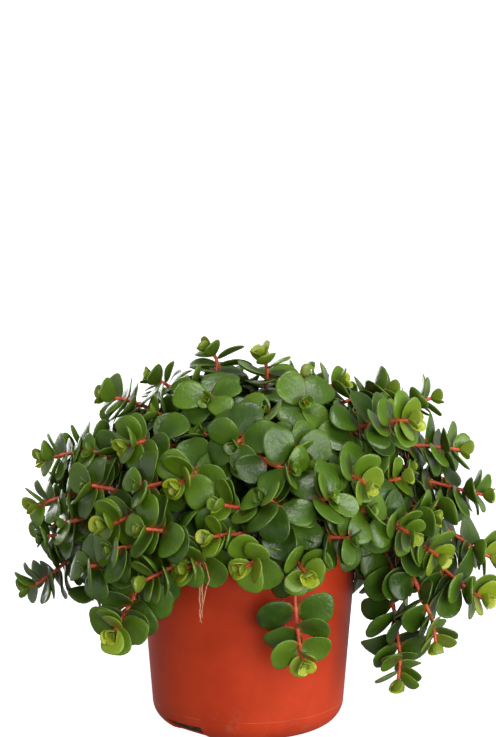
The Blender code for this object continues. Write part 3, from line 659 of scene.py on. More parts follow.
tips = all_tips()
roots = share_out_roots(tips)
paths = {name: first_path(roots[name], tip, way) for name, (tip, way) in tips.items()}
paths = part_stems(paths)
stems = {name: make_stem(name, path) for name, path in paths.items()}


# The leaves are thick, smooth and nearly round, in opposite pairs that each stand across the last one, small
# and folded up round the tip and grown down the stem. First comes where each one stands, tried out as a plain
# blade: as in the solid shoots, one that would cross a neighbour is bent clear or left out.

PAIR_LENGTHS = (0.0080, 0.0124, 0.0164, 0.0190, 0.0198, 0.0195, 0.0190, 0.0185, 0.0180)
PAIR_ANGLES = (26, 50, 68, 78, 84, 86, 86, 86, 86)
GROWN_PAIR = 4
SWING_SPREAD = 14
ANGLE_SPREAD = 9
TWIST_SPREAD = 16
LENGTH_SPREAD = (0.84, 1.09)
CURL_SPREAD = (-0.18, 0.02)
OUTWARD_PULL = 0.20
LIGHT_FLATTENING = 0.75
SKYWARD = 0.8
WINDOW = Vector((0, -0.35, 0))
FLANK_WINDOW = 4.5  # how much more the side shoots' leaves on the plant's flanks turn to it
FLANK_START = 0.4  # how far to the side the flanks begin
FLANK_BACK = 0.03
FLANK_DEPTH = 0.06
TIPWARD_FACE = (1.0, 0.45)
LIGHTWARD_FACE = (0.2, 0.90)
LEAF_WIDTH_SHARE = 0.97
LEAF_THICKNESS = 0.0020
YOUNG_THICKNESS_SHARE = 0.16
LEAF_WAIST = 0.84
LEAF_FULLEST = LEAF_WAIST + 0.11 * (1 - LEAF_WAIST)  # the waist's value where the blade is widest
YOUNG_RING = 6  # how many corners a leaf's outline has
GROWN_RING = 8
LEAF_DISH = 0.05
LEAF_CROWN = 0.56
LEAF_GAP = 0.0003
FOOT_LEAN = 0.25
FOOT_SQUARE = 0.4
FOOT_SWELL = 1.2
NEIGHBOUR_REACH = 0.035
POT_TREE_STEPS = 48
SOIL_EYE = 0.001

OLDER_TIPS = {"brow_middle": 2, "brow_right": 1, "crown_left": 2, "crown_right": 2}

# The ways to bend a leaf clear that are tried in turn: its tilt and twist in degrees, and its length's share.
BENDS = [(0, 0, 1)]
BENDS += [(tilt, twist, 1) for tilt in (-12, 12, -24, 24) for twist in (0, -20, 20)]
BENDS += [(tilt, twist, 1) for tilt in (-30, 30) for twist in (-35, 35)]
BENDS += [(tilt, twist, 0.85) for tilt in (0, -15, 15, 30) for twist in (0, -30, 30)]
BENDS += [(tilt, twist, 0.7) for tilt in (0, -20, 20, 40) for twist in (0, -40, 40)]


class Leaf(NamedTuple):
    foot: list  # the four corners on the stem that it grows from
    root: Vector
    along: Vector
    face: Vector
    length: float
    curl: float
    ring: int  # how many corners its outline has
    age: float  # its place from the tip, counted in pairs


def window_pull(name, root, outward):
    """How strongly a leaf turns to the window: side shoots more than the others on the plant's flanks."""
    if name in stems:
        return 1
    front = min(1, max(0, (FLANK_BACK - root.y) / FLANK_DEPTH))
    return 1 + FLANK_WINDOW * front * max(0, abs(outward.x) - FLANK_START)


def middle_of(ring):
    return sum(ring, Vector()) / 4


def leaf_pair(name, stem, joint, pair):
    """The two opposite leaves of a pair, as they would stand with no neighbours."""
    draw = random.Random(f"{name} {pair}")
    way = stem.ways[joint]
    age = min(pair + OLDER_TIPS.get(name, 0), len(PAIR_LENGTHS) - 1)
    grown = min(1, age / GROWN_PAIR)
    swing = math.radians(draw.uniform(-SWING_SPREAD, SWING_SPREAD))
    ages = range(len(PAIR_LENGTHS))
    for side in (int(pair) % 2, int(pair) % 2 + 2):
        low, high = stem.rings[joint], stem.rings[joint + 1]
        after = (side + 1) % 4
        foot = [low[side], low[after], high[after], high[side]]
        root = middle_of(foot)
        away = Matrix.Rotation(swing, 3, way) @ (foot[1] - foot[0]).cross(way).normalized()
        outward = (root - CANOPY_MIDDLE).normalized()
        angle = float(np.interp(age, ages, PAIR_ANGLES))
        spread = math.radians(angle + draw.uniform(-ANGLE_SPREAD, ANGLE_SPREAD))
        light = (outward + SKYWARD * UP + window_pull(name, root, outward) * WINDOW).normalized()
        along = way * math.cos(spread) + away * math.sin(spread) + OUTWARD_PULL * grown * outward
        along = (along - LIGHT_FLATTENING * grown * along.dot(light) * light).normalized()
        tipward, lightward = (young + (old - young) * grown for young, old in (TIPWARD_FACE, LIGHTWARD_FACE))
        face = tipward * way + lightward * light
        face = (face - along * face.dot(along)).normalized()
        length = float(np.interp(age, ages, PAIR_LENGTHS)) * draw.uniform(*LENGTH_SPREAD)
        curl = draw.uniform(*CURL_SPREAD)
        face = Matrix.Rotation(math.radians(draw.uniform(-TWIST_SPREAD, TWIST_SPREAD)), 3, along) @ face
        yield Leaf(foot, root, along, face, length, curl, GROWN_RING if pair else YOUNG_RING, age)


def bent(leaf, tilt, twist, scale):
    """The leaf tilted towards its own face and twisted about its stalk, in degrees."""
    turn = Matrix.Rotation(math.radians(tilt), 3, leaf.along.cross(leaf.face))
    along = turn @ leaf.along
    face = Matrix.Rotation(math.radians(twist), 3, along) @ (turn @ leaf.face)
    return leaf._replace(along=along, face=face, length=leaf.length * scale)


def blade_points(leaf, gap=0):
    """The outline from shoulder to shoulder round the tip, then the middle of the upper and lower faces."""
    length = leaf.length + gap
    width = LEAF_WIDTH_SHARE * leaf.length + 2 * gap
    thickness = min(LEAF_THICKNESS, YOUNG_THICKNESS_SHARE * length) + 2 * gap
    points = []
    for i in range(1 - leaf.ring // 2, leaf.ring // 2):
        turn = 2 * math.pi * i / leaf.ring
        waist = (LEAF_WAIST + (1 - LEAF_WAIST) * math.cos(turn)) / LEAF_FULLEST
        points.append((length * (1 + math.cos(turn)) / 2, width / 2 * math.sin(turn) * waist, 0))
    for half in (thickness / 2, -thickness / 2):
        points.append((LEAF_CROWN * length, 0, half - LEAF_DISH * length))
    across = leaf.face.cross(leaf.along)
    rise = leaf.curl / length
    return [leaf.root + leaf.along * x + across * y + leaf.face * (z + rise * x * x) for x, y, z in points]


def blade_tree(leaf, gap=LEAF_GAP, with_root=True):
    """The blade as a closed skin, or only past its shoulders, for testing it against its neighbours."""
    *outline, upper, lower = blade_points(leaf, gap)
    faces = [(b, a, upper) for a, b in zip(outline, outline[1:])]
    faces += [(a, b, lower) for a, b in zip(outline, outline[1:])]
    if with_root:
        swollen = [leaf.root + FOOT_SWELL * (corner - leaf.root) for corner in leaf.foot]
        low_left, low_right, high_right, high_left = swollen
        left, right = outline[0], outline[-1]
        faces += [(left, high_left, upper), (high_left, high_right, upper), (high_right, right, upper)]
        faces += [(low_left, left, lower), (low_right, low_left, lower), (right, low_right, lower)]
        faces += [(low_left, high_left, left), (high_right, low_right, right)]
    corners = [corner for face in faces for corner in face]
    return BVHTree.FromPolygons(corners, [(i, i + 1, i + 2) for i in range(0, len(corners), 3)])


def ring_faces(rings, sides):
    """Quads between closed rings of corners."""
    faces = []
    for low in range(0, (rings - 1) * sides, sides):
        for k in range(sides):
            after = (k + 1) % sides
            faces.append((low + k, low + after, low + sides + after, low + sides + k))
    return faces


def ring_tree(rings):
    """The skin through closed rings of corners, for testing."""
    corners = [corner for ring in rings for corner in ring]
    return BVHTree.FromPolygons(corners, ring_faces(len(rings), len(rings[0])))


def stem_tree(stem):
    swell = 1 + LEAF_GAP / (STEM_RADIUS * STEM_TIP_SHARE)
    rings = []
    for ring in stem.rings:
        middle = middle_of(ring)
        rings.append([middle + (corner - middle) * swell for corner in ring])
    return ring_tree(rings)


def pot_tree():
    """The pot's outside, its lip and the soil as one simple skin."""
    outline = (
        (corner_middle[0], 0),
        (wall_radius(CORNER_RADIUS), CORNER_RADIUS),
        (wall_radius(lip_foot), lip_foot),
        (LIP_RADIUS, lip_foot),
        (LIP_RADIUS, POT_HEIGHT),
        (mouth, POT_HEIGHT),
        (wall_radius(SOIL_TOP) - WALL_THICKNESS, SOIL_TOP),
        (ROOT_CIRCLE, SOIL_TOP + SOIL_CROWN),
        (SOIL_EYE, SOIL_TOP + SOIL_CROWN),
    )
    turns = [2 * math.pi * k / POT_TREE_STEPS for k in range(POT_TREE_STEPS)]
    return ring_tree([[Vector(around(radius, turn, height)) for turn in turns] for radius, height in outline])


def grows_freely(leaf):
    """Whether the blade leaves its foot outward, with its edges on the foot's own sides."""
    width = (leaf.foot[1] - leaf.foot[0]).normalized()
    away = width.cross(leaf.foot[3] - leaf.foot[0]).normalized()
    return leaf.along.dot(away) > FOOT_LEAN and leaf.face.cross(leaf.along).dot(width) > FOOT_SQUARE


def fit_leaf(wanted, obstacles, own_stem, taken):
    near = [tree for middle, tree in taken if (middle - wanted.root).length < NEIGHBOUR_REACH]
    for bend in BENDS:
        leaf = bent(wanted, *bend)
        if not grows_freely(leaf) or blade_tree(leaf, with_root=False).overlap(own_stem):
            continue
        tree = blade_tree(leaf)
        if not any(tree.overlap(other) for other in (*near, *obstacles)):
            taken.append((leaf.root + leaf.along * leaf.length / 2, tree))
            return leaf
    return None


trees = {name: stem_tree(stem) for name, stem in stems.items()}
pot_skin = pot_tree()
taken = []
leaves = {name: [] for name in stems}


def grow_stem(owner, stem, pairs, skipped=()):
    """Leaf pairs on one stem, from its tip down, as far as there is room for them."""
    obstacles = [pot_skin, *(tree for name, tree in trees.items() if name != owner and name not in skipped)]
    for joint, pair in zip(stem.joints, pairs):
        for wanted in leaf_pair(owner, stem, joint, pair):
            found = fit_leaf(wanted, obstacles, trees[owner], taken)
            if found:
                leaves[owner].append(found)


def grow_pairs(stems, pairs):
    """Leaf pairs on every stem, a pair at a time, so that all tips are leafy before the older leaves grow."""
    for i, pair in enumerate(pairs):
        for name, stem in stems.items():
            if i < len(stem.joints):
                grow_stem(name, stem._replace(joints=stem.joints[i : i + 1]), [pair])


MAIN_PAIRS = range(len(PAIR_OFFSETS))
BETWEEN_PAIRS = [i + 0.5 for i in range(len(BETWEEN_OFFSETS))]
grow_pairs(stems, MAIN_PAIRS)


# Side shoots are thinner young stems that close the canopy. The barest place of the canopy takes the tip of
# the next one, which branches off a stem a few centimetres away and trails over it. The older leaves further
# down the stems fill the shade underneath.

SIDE_SHOOTS = 80
SIDE_PLACES = 700
SIDE_DEPTHS = (0.84, 0.97)  # how far out in the canopy a side shoot's tip lies
SIDE_TUCK = 0.45  # how much deeper they lie the further down they are
SIDE_TUCK_SHARE = 0.15
SIDE_LENGTH = 0.036
SIDE_BARE = 0.005
SIDE_FOOT_RING = 0.001
SIDE_ONWARD = 0.5  # how much a side shoot first follows the stem that it leaves
SIDE_START_SHARE = 0.25
SIDE_END_SHARE = 0.35
FORK_POINTS = range(UPRIGHT_POINTS + 4, STEM_POINTS - 2)  # of a stem, where it may branch
FORK_HEADING = 0.02  # what a fork is worth that lies straight behind the tip, in metres
SIDE_PARTING = 0.020  # side shoots head to the left on the left of this place, and to the right on its right
SIDE_SIDEWAYS = (0.6, 1.1)
SIDE_OUTWARD = 0.35
SIDE_LIFT = 1.0  # and rise at the crown, but droop further down
SIDE_DROOP = 0.40
SIDE_AGES = (0, 1, 2, 2)  # by how many pairs a side shoot's leaves are older than those of a growing tip
SIDE_CROWN = Vector((0.005, -0.050, 0.165))  # side shoots near this place end in grown leaves
SIDE_CROWN_REACH = 0.042
SIDE_CROWN_AGE = 2
SIDE_FRONT_REACH = -0.022  # side shoots hang a little in front of the pot, on its left
SIDE_FRONT_FOOT = 0.092
OPEN_SHOOTS = {"front_trailing"}  # with no finer pairs of leaves between the others
BOX_MARGIN = 0.009  # between a side shoot's tip and the sides of the solid's box
cad_low, cad_high = (np.array(corner) for corner in cad_box)

lower_stems = {name: make_stem(name, path, LOWER_OFFSETS) for name, path in paths.items()}
branches = {name: [] for name in stems}
between_stems = {
    name: make_stem(name, path, BETWEEN_OFFSETS, turned_by=BETWEEN_TURN)
    for name, path in paths.items()
    if name not in OPEN_SHOOTS
}
grow_pairs(between_stems, BETWEEN_PAIRS)


def side_places():
    """Places all over the canopy, each with the way a tip there would trail."""
    draw = random.Random("side shoots")
    for i in range(SIDE_PLACES):
        share = CANOPY_TOP_SHARE + (CANOPY_LOW_SHARE - CANOPY_TOP_SHARE) * (i + 0.5) / SIDE_PLACES
        place, _ = canopy_tip(i * GOLDEN_ANGLE, share)
        level = Vector((place.x, place.y, 0)).normalized()
        depth = draw.uniform(*SIDE_DEPTHS) - SIDE_TUCK * max(0, SIDE_TUCK_SHARE - share)
        place = CANOPY_MIDDLE + (place - CANOPY_MIDDLE) * depth
        sideways = Vector((math.copysign(draw.uniform(*SIDE_SIDEWAYS), place.x - SIDE_PARTING), 0, 0))
        way = (SIDE_OUTWARD * level + sideways + UP * (SIDE_LIFT * share - SIDE_DROOP)).normalized()
        held = Vector(np.clip(place, cad_low + BOX_MARGIN, cad_high - BOX_MARGIN))
        if not in_front_of_pot(held) or (held.x < SIDE_FRONT_REACH and held.z > SIDE_FRONT_FOOT):
            yield held, way


def fork(place, way):
    """The stem, and the point on it, that a side shoot with this tip would branch from."""
    best = None
    for name, path in paths.items():
        for i in FORK_POINTS:
            gap = place - Vector(path[i])
            cost = abs(gap.length - SIDE_LENGTH) - FORK_HEADING * gap.normalized().dot(way)
            if best is None or cost < best[0]:
                best = (cost, name, i)
    return best[1:]


def add_side_shoot(count, place, way):
    """Grows one side shoot with its leaves, and says which stem it belongs to."""
    parent, i = fork(place, way)
    path = paths[parent]
    start = Vector(path[i])
    onward = Vector(path[i + 1] - path[i - 1]).normalized()
    gap = place - start
    first = start + (SIDE_ONWARD * onward + gap.normalized()) * gap.length * SIDE_START_SHARE
    line = bezier((start, first, place - way * gap.length * SIDE_END_SHARE, place), STEM_POINTS)
    name = f"side {count}"
    on_crown = (place - SIDE_CROWN).length < SIDE_CROWN_REACH
    OLDER_TIPS[name] = SIDE_CROWN_AGE if on_crown else random.Random(name).choice(SIDE_AGES)
    stem = make_stem(name, line, PAIR_OFFSETS, SIDE_BARE, SIDE_FOOT_RING)
    trees[name] = stem_tree(stem)
    leaves[name] = []
    grow_stem(name, stem, MAIN_PAIRS, {parent})
    between = make_stem(name, line, BETWEEN_OFFSETS, SIDE_BARE, SIDE_FOOT_RING, BETWEEN_TURN)
    grow_stem(name, between, BETWEEN_PAIRS, {parent})
    branches[parent].append((name, stem))


places = list(side_places())
for count in range(SIDE_SHOOTS):
    middles = np.array([middle for middle, _ in taken])
    bare = [np.linalg.norm(middles - np.array(place), axis=1).min() for place, _ in places]
    place, way = places.pop(int(np.argmax(bare)))
    add_side_shoot(count, place, way)

grow_pairs(lower_stems, range(len(PAIR_OFFSETS), len(PAIR_LENGTHS)))


# Each leafy shoot is one grown piece: a smooth stem with its side shoots, joined to fleshy leaves with round
# pale rims, partly a painted highlight. The leaves are glossy and dark where they are old, fresh green when
# young, and yellow in the bud, with painted shade in their cupped middles and near their stalks.

BLADE_RINGS = 10
BLADE_SIDES = 14
BLADE_FULLNESS = 0.85  # of the solid leaf's thickness
BLADE_BLUNTNESS = 0.86  # under 1 the blade's outline is fuller than an ellipse
BLADE_EDGE = 1.05  # above 1 the blade thins out evenly towards its edges
BLADE_PLUMPNESS = 0.45  # under 1 the blade stays thick nearly to both its ends
STALK_FADE = 6  # how soon the blade's own width takes over from its stalk's
STALK_HALF_WIDTH = 0.0010
STALK_HALF_THICKNESS = 0.0007
YOUNG_DISH = (0.03, 0.08)  # how deep a blade's middle lies, as a share of its length
OLD_DISH = (-0.10, 0.20)  # a grown blade may arch up instead
FOLD_SPREAD = (0.00, 0.10)
SKEW_SPREAD = 0.12  # sideways bend of a blade
GIRTH_SPREAD = (0.90, 1.04)
YOUNG_CURL = 0.04
WARP_SPREAD = 0.22  # twist of a blade along its length
BROW_SPREAD = (0.04, 0.34)  # how far the outer part of a grown blade bends back, as a share of its length
BROW_START = 0.35  # where along the blade that bend begins
BROW_SHORTENING = 0.5
RIM_START = 0.90  # where along the blade the rim begins to cross over its tip
RIM_LENGTH = 0.10
LEAST_REACH = 1e-6
WAVE_SPREAD = 0.03
LEAST_SCALE = 0.75  # a blade that has to shrink more than this to stay in the solid's box is left out
BUD_LENGTHS = (0.0062, 0.0048, 0.0034)
BUD_ANGLES = (36, 24, 10)
BUD_SPREAD = (0.9, 1.1)
BUD_OFFSET = 0.0004
BUD_AGE = -0.15  # a leaf younger than 0 is as yellow as one of 0
BUD_AGE_STEP = 0.2
STEM_SIDES = 8
STEM_RING_STEP = 0.0025
LEAST_RINGS = 6
SMOOTHING_ROUNDS = 3
END_ROUNDING = 0.4  # how far a tube's end bulges, as a share of its radius
STEEP = 0.9
JOINT_SWELL = 0.20
JOINT_SWELL_REACH = 0.0016
BUD_COLOUR = (0.28, 0.33, 0.016)
YOUNG_COLOUR = (0.100, 0.185, 0.006)
GROWN_COLOUR = (0.043, 0.096, 0.005)
OLD_COLOUR = (0.016, 0.044, 0.002)
UNDER_COLOUR = (0.062, 0.112, 0.010)
# The rim colour is partly the leaf's own pale margin and partly a painted highlight on its upturned edge.
PALE_RIM_AND_HIGHLIGHT_COLOUR = (0.20, 0.27, 0.050)
BLUSH_COLOUR = (0.30, 0.070, 0.018)
STEM_RED = (0.40, 0.052, 0.018)
STEM_PALE = (0.55, 0.16, 0.06)
STEM_OLD = (0.17, 0.055, 0.025)
MAIN_THICKNESS = 0.95
SIDE_THICKNESS = 0.75
FIRST_AGE = 0.15  # of the youngest pair of leaves; a grown leaf's age is 1
FRESH_SPREAD = (-0.12, 0.16)  # how much younger than that a whole shoot looks
FRESH_FADE = 0.75  # share of that which is gone in its grown leaves
OLDER_FADE = 0.4  # of a bud, for each pair by which its tip is older
FRESH_SHOOTS = {
    "left_rosette": 0.22, "front_trailing": 0.26, "front_middle": 0.20, "front_left_high": 0.15,
    "side_rosette": 0.26, "crest_middle": 0.20, "left_low": -0.20, "left_middle": 0.0,
    "right_trailing": 0.10, "right_hanging": 0.22, "side_low": 0.22, "right_inner": 0.20,
}
AERIAL_ROOT_RADIUS = 0.00026
AERIAL_ROOT_POINTS = 9
AERIAL_ROOT_SIDES = 5
ROOT_SPREAD = 0.30
ROOT_BENDS = ((1, 0.2), (0.2, 0.7))  # how far aside and down the two points lie that bend a root
ROOT_TAPER = 0.6
ROOT_WANDER = 0.035
ROOTED_OFFSETS = (*PAIR_OFFSETS[2:], *LOWER_OFFSETS)
ROOTED_SHARE = 0.35  # of the joints that have roots
ROOT_LENGTHS = (0.004, 0.012)
ROOTS_PER_JOINT = 2
ROOT_BUNCH_PLACE = Vector((-0.014, -0.088, 0.098))
ROOT_BUNCH_COUNT = 6
ROOT_BUNCH_LENGTHS = (0.020, 0.034)
ROOT_BUNCH_SWELL = 1.5  # how much thicker the bunch's roots are than the others
ROOT_PALE = (0.50, 0.27, 0.15)
ROOT_RED = (0.40, 0.10, 0.035)
LEAF_LOOK, STEM_LOOK, ROOT_LOOK = range(3)
LEAF_SHINE = 0.38
LEAF_CLOUDS = (160, 3.0, 0.6)
LEAF_SPECKLES = (1500, 2.0)
LEAF_WRINKLES = (520, 3.0, 0.55)
FRESH_AGES = (0.0, 0.35)  # the ages over which a leaf turns from yellow to fresh green
GROWN_AGES = (0.25, 0.95)  # and from that to its grown green
HUE_AGE = 0.18  # how much a leaf's own hue adds to its age
OLD_AGES = (0.6, 1.0)
OLD_SHADES = (0.35, 0.95)  # which of the old leaves are the darkest
PALE_CLOUDS = (0.45, 0.75)
PALE_SHARE = 0.30
UNDER_EDGES = (-0.25, 0.25)  # from a blade's under side to its upper side
UNDER_SHARE = 0.60
PAINTED_SHADE_ACROSS = (0.10, 0.90)  # painted shade: a grown blade is darker in its cupped middle and near its stalk
PAINTED_SHADE_ALONG = (0.05, 0.60)
PAINTED_SHADE_SHARE = 0.34
PAINTED_SHADE_AGES = (0.1, 0.6)
PALE_RIM_AND_HIGHLIGHT_ACROSS = (0.93, 1.0)
PALE_RIM_AND_HIGHLIGHT_SHARE = 0.34
BLUSH_ALONG = (0.02, 0.14)
BLUSH_SHARE = 0.50
VEIN_ACROSS = (0.0, 0.10)
LEAF_ROUGHNESS = 0.24
LEAF_CLOUD_ROUGHNESS = 0.14
SHADE_ROUGHNESS = 0.08
SPECKLE_HEIGHT = 0.1
LEAF_CLOUD_HEIGHT = 2.2
VEIN_DEPTH = 0.5
LEAF_RELIEF = 0.00022
STEM_SHINE = 0.3
STEM_CLOUDS = (420, 3.0, 0.6)
RED_RUN = (0.15, 0.55)  # along a stem, from its old brown foot to its red
STREAK_EDGES = (0.5, 0.8)
STEM_STREAKS = 0.5
JOINT_PALENESS = 0.25
STEM_ROUGHNESS = 0.42
STEM_CLOUD_ROUGHNESS = 0.12
STEM_RELIEF = 0.00010
ROOT_SHINE = 0.2
ROOT_CLOUDS = (900, 2.0)
ROOT_HUE = 0.5
PALE_RUN = (0.2, 1.2)  # along a root, from red to its pale tip
ROOT_STREAKS = 0.4
ROOT_ROUGHNESS = 0.6
ROOT_CLOUD_ROUGHNESS = 0.2
ROOT_RELIEF = 0.00004


class Skin:
    """Gathers the skins of leaves, stems and roots into one mesh, with the numbers that colour them."""

    def __init__(self):
        self.places = []
        self.faces = []
        self.blade = []
        self.growth = []
        self.looks = []
        self.count = 0

    def add(self, places, faces, blade, growth, look):
        self.faces += [tuple(self.count + i for i in face) for face in faces]
        self.looks += [look] * len(faces)
        self.places.append(places)
        self.blade.append(blade)
        self.growth.append(growth)
        self.count += len(places)

    def mesh(self, name):
        made = bpy.data.meshes.new(name)
        made.from_pydata(np.vstack(self.places).tolist(), [], self.faces)
        made.polygons.foreach_set("material_index", self.looks)
        for key, rows in (("blade", self.blade), ("growth", self.growth)):
            layer = made.attributes.new(key, "FLOAT_VECTOR", "POINT")
            layer.data.foreach_set("vector", np.vstack(rows).astype(np.float32).ravel())
        made.shade_smooth()
        return made


def tube_faces(rings, sides):
    """Quads between closed rings, and a fan to a point at each end; the points come last."""
    faces = ring_faces(rings, sides)
    end = rings * sides
    last = (rings - 1) * sides
    for k in range(sides):
        after = (k + 1) % sides
        faces.append((after, k, end))
        faces.append((last + k, last + after, end + 1))
    return faces


blade_faces = tube_faces(BLADE_RINGS, BLADE_SIDES)


def add_blade(skin, leaf, age, draw):
    """A fleshy blade on its short stalk: lens-shaped sections, dished, folded and curled a little."""
    length = leaf.length
    turn = np.pi * (1 - np.arange(BLADE_RINGS) / BLADE_RINGS)[:, None]
    phi = (2 * np.pi * np.arange(BLADE_SIDES) / BLADE_SIDES)[None]
    x = length * (1 + np.cos(turn)) / 2
    body = np.sin(turn)
    waist = (LEAF_WAIST + (1 - LEAF_WAIST) * np.cos(turn)) / LEAF_FULLEST
    half = LEAF_WIDTH_SHARE * length / 2 * body**BLADE_BLUNTNESS * waist * draw.uniform(*GIRTH_SPREAD)
    stalk = (1 - x / length) ** STALK_FADE
    half = np.maximum(half, STALK_HALF_WIDTH * stalk)
    thickness = min(LEAF_THICKNESS, YOUNG_THICKNESS_SHARE * length) / 2
    deep = np.maximum(thickness * body**BLADE_PLUMPNESS, STALK_HALF_THICKNESS * stalk)
    v = np.cos(phi) + 0 * turn
    y = half * v
    z = BLADE_FULLNESS * deep * np.sign(np.sin(phi)) * np.abs(np.sin(phi)) ** BLADE_EDGE
    ripe = min(1, max(0, age))
    dish = (1 - ripe) * draw.uniform(*YOUNG_DISH) + ripe * draw.uniform(*OLD_DISH)
    fold = draw.uniform(*FOLD_SPREAD)
    curl = leaf.curl + (1 - ripe) * YOUNG_CURL
    brow = ripe * draw.uniform(*BROW_SPREAD)
    wave = WAVE_SPREAD * draw.uniform(-1, 1)
    phase = draw.uniform(0, 2 * math.pi)
    z = z - length * dish * (1 - v**2) * body - length * fold * (1 - np.abs(v)) * body * (1 - x / length)
    z = z + length * wave * np.sin(2 * turn + phase) * np.abs(v) ** 3 * np.sign(v) * body
    z = z + ripe * draw.uniform(-WARP_SPREAD, WARP_SPREAD) * y * x / length
    y = y + draw.uniform(-SKEW_SPREAD, SKEW_SPREAD) * x**2 / length
    x = np.broadcast_to(x, v.shape)
    grid = np.stack([x, y, z], axis=-1).reshape(-1, 3)
    grid = np.vstack([grid, [[0, 0, 0], [length, 0, 0]]])
    grid[:, 2] += curl / length * grid[:, 0] ** 2
    past = np.maximum(0, grid[:, 0] / length - BROW_START) / (1 - BROW_START)
    grid[:, 2] -= brow * length * past**2
    grid[:, 0] -= BROW_SHORTENING * brow * length * past**2
    across = leaf.face.cross(leaf.along)
    reach = grid @ np.array([leaf.along, across, leaf.face])
    root = np.array(leaf.root)
    room = np.where(reach > 0, cad_high - root, root - cad_low)
    scale = min(1, float((room / np.maximum(np.abs(reach), LEAST_REACH)).min()))
    if scale < LEAST_SCALE:
        return
    places = root + scale * reach
    edge = np.maximum(np.abs(v), (x / length - RIM_START) / RIM_LENGTH).reshape(-1)
    upper = (np.sin(phi) + 0 * turn).reshape(-1)
    share = (x / length).reshape(-1)
    blade = np.stack([np.append(share, [0, 1]), np.append(edge, [0, 1]), np.append(upper, [0, 0])], axis=1)
    growth = np.tile([age, draw.random(), draw.random()], (len(places), 1))
    skin.add(places, blade_faces, blade, growth, LEAF_LOOK)


def add_bud(skin, stem, fresh, draw):
    """The folded leaves in the middle of a tip, too small for the solid."""
    way = stem.ways[-1]
    last = stem.rings[-1]
    middle = middle_of(last)
    for pair, (length, degrees) in enumerate(zip(BUD_LENGTHS, BUD_ANGLES)):
        for side in ((pair + 1) % 2, (pair + 1) % 2 + 2):
            away = (last[side] + last[(side + 1) % 4]) / 2 - middle
            away = (away - way * away.dot(way)).normalized()
            tilt = math.radians(degrees)
            along = way * math.cos(tilt) + away * math.sin(tilt)
            face = (way * math.sin(tilt) - away * math.cos(tilt)).normalized()
            root = middle + BUD_OFFSET * away - BUD_OFFSET * way
            leaf = Leaf(last, root, along, face, length * draw.uniform(*BUD_SPREAD), 0.0, YOUNG_RING, 0)
            add_blade(skin, leaf, BUD_AGE - BUD_AGE_STEP * pair - fresh, draw)


def add_tube(skin, line, radii, sides, growth, look):
    """A round skin along a line of points, with rounded ends."""
    ways = np.gradient(line, axis=0)
    ways /= np.linalg.norm(ways, axis=1)[:, None]
    side = np.cross(ways[0], (0, 0, 1) if abs(ways[0][2]) < STEEP else (1, 0, 0))
    phi = 2 * np.pi * np.arange(sides) / sides
    rings = []
    for place, way, radius in zip(line, ways, radii):
        side = side - way * side.dot(way)
        side /= np.linalg.norm(side)
        other = np.cross(way, side)
        rings.append(place + radius * (np.cos(phi)[:, None] * side + np.sin(phi)[:, None] * other))
    ends = [line[0] - ways[0] * radii[0] * END_ROUNDING, line[-1] + ways[-1] * radii[-1] * END_ROUNDING]
    places = np.vstack([*rings, ends])
    around = np.append(np.tile(phi / (2 * np.pi), len(line)), [0, 0])
    growth = np.vstack([np.repeat(growth, sides, axis=0), growth[:1], growth[-1:]])
    blade = np.stack([around, 0 * around, 0 * around], axis=1)
    skin.add(places, tube_faces(len(line), sides), blade, growth, look)


def smooth_line(path):
    """The path with its corners rounded, at even steps."""
    length = runs_along(path)[-1]
    count = max(LEAST_RINGS, int(length / STEM_RING_STEP))
    line = at_runs(path, np.linspace(0, length, count))
    for _ in range(SMOOTHING_ROUNDS):
        line[1:-1] = (line[:-2] + 2 * line[1:-1] + line[2:]) / 4
    return line


def add_stem(skin, path, offsets, foot_radius, tip_radius, hue):
    line = smooth_line(path)
    runs = runs_along(line)
    length = runs[-1]
    swell = 0 * runs
    for offset in offsets:
        swell += JOINT_SWELL * np.exp(-(((runs - length + offset) / JOINT_SWELL_REACH) ** 2))
    radii = (foot_radius + (tip_radius - foot_radius) * runs / length) * (1 + swell)
    growth = np.stack([runs / length, swell / JOINT_SWELL, np.full(len(runs), hue)], axis=1)
    add_tube(skin, line, radii, STEM_SIDES, growth, STEM_LOOK)


def add_roots(skin, start, count, lengths, draw, swell=1):
    """Thin aerial roots that hang from one place on a stem and wander a little on their way down."""
    clear = LIP_RADIUS + 2 * swell * AERIAL_ROOT_RADIUS
    share = np.linspace(0, 1, AERIAL_ROOT_POINTS)
    for _ in range(count):
        length = draw.uniform(*lengths)
        aside = np.array([draw.uniform(-1, 1), draw.uniform(-1, 1), 0]) * ROOT_SPREAD * length
        down = np.array([0, 0, -length])
        bends = [start + outward * aside + downward * down for outward, downward in ROOT_BENDS]
        line = bezier((start, *bends, start + down), len(share))
        for point in line[1:]:
            point[:2] += [draw.uniform(-1, 1) * ROOT_WANDER * length for _ in range(2)]
            level = math.hypot(point[0], point[1])
            if point[2] < POT_HEIGHT and level < clear:
                point[:2] *= clear / level
        growth = np.stack([share, 0 * share, np.full(len(share), draw.random())], axis=1)
        radii = swell * AERIAL_ROOT_RADIUS * (1 - ROOT_TAPER * share)
        add_tube(skin, line, radii, AERIAL_ROOT_SIDES, growth, ROOT_LOOK)


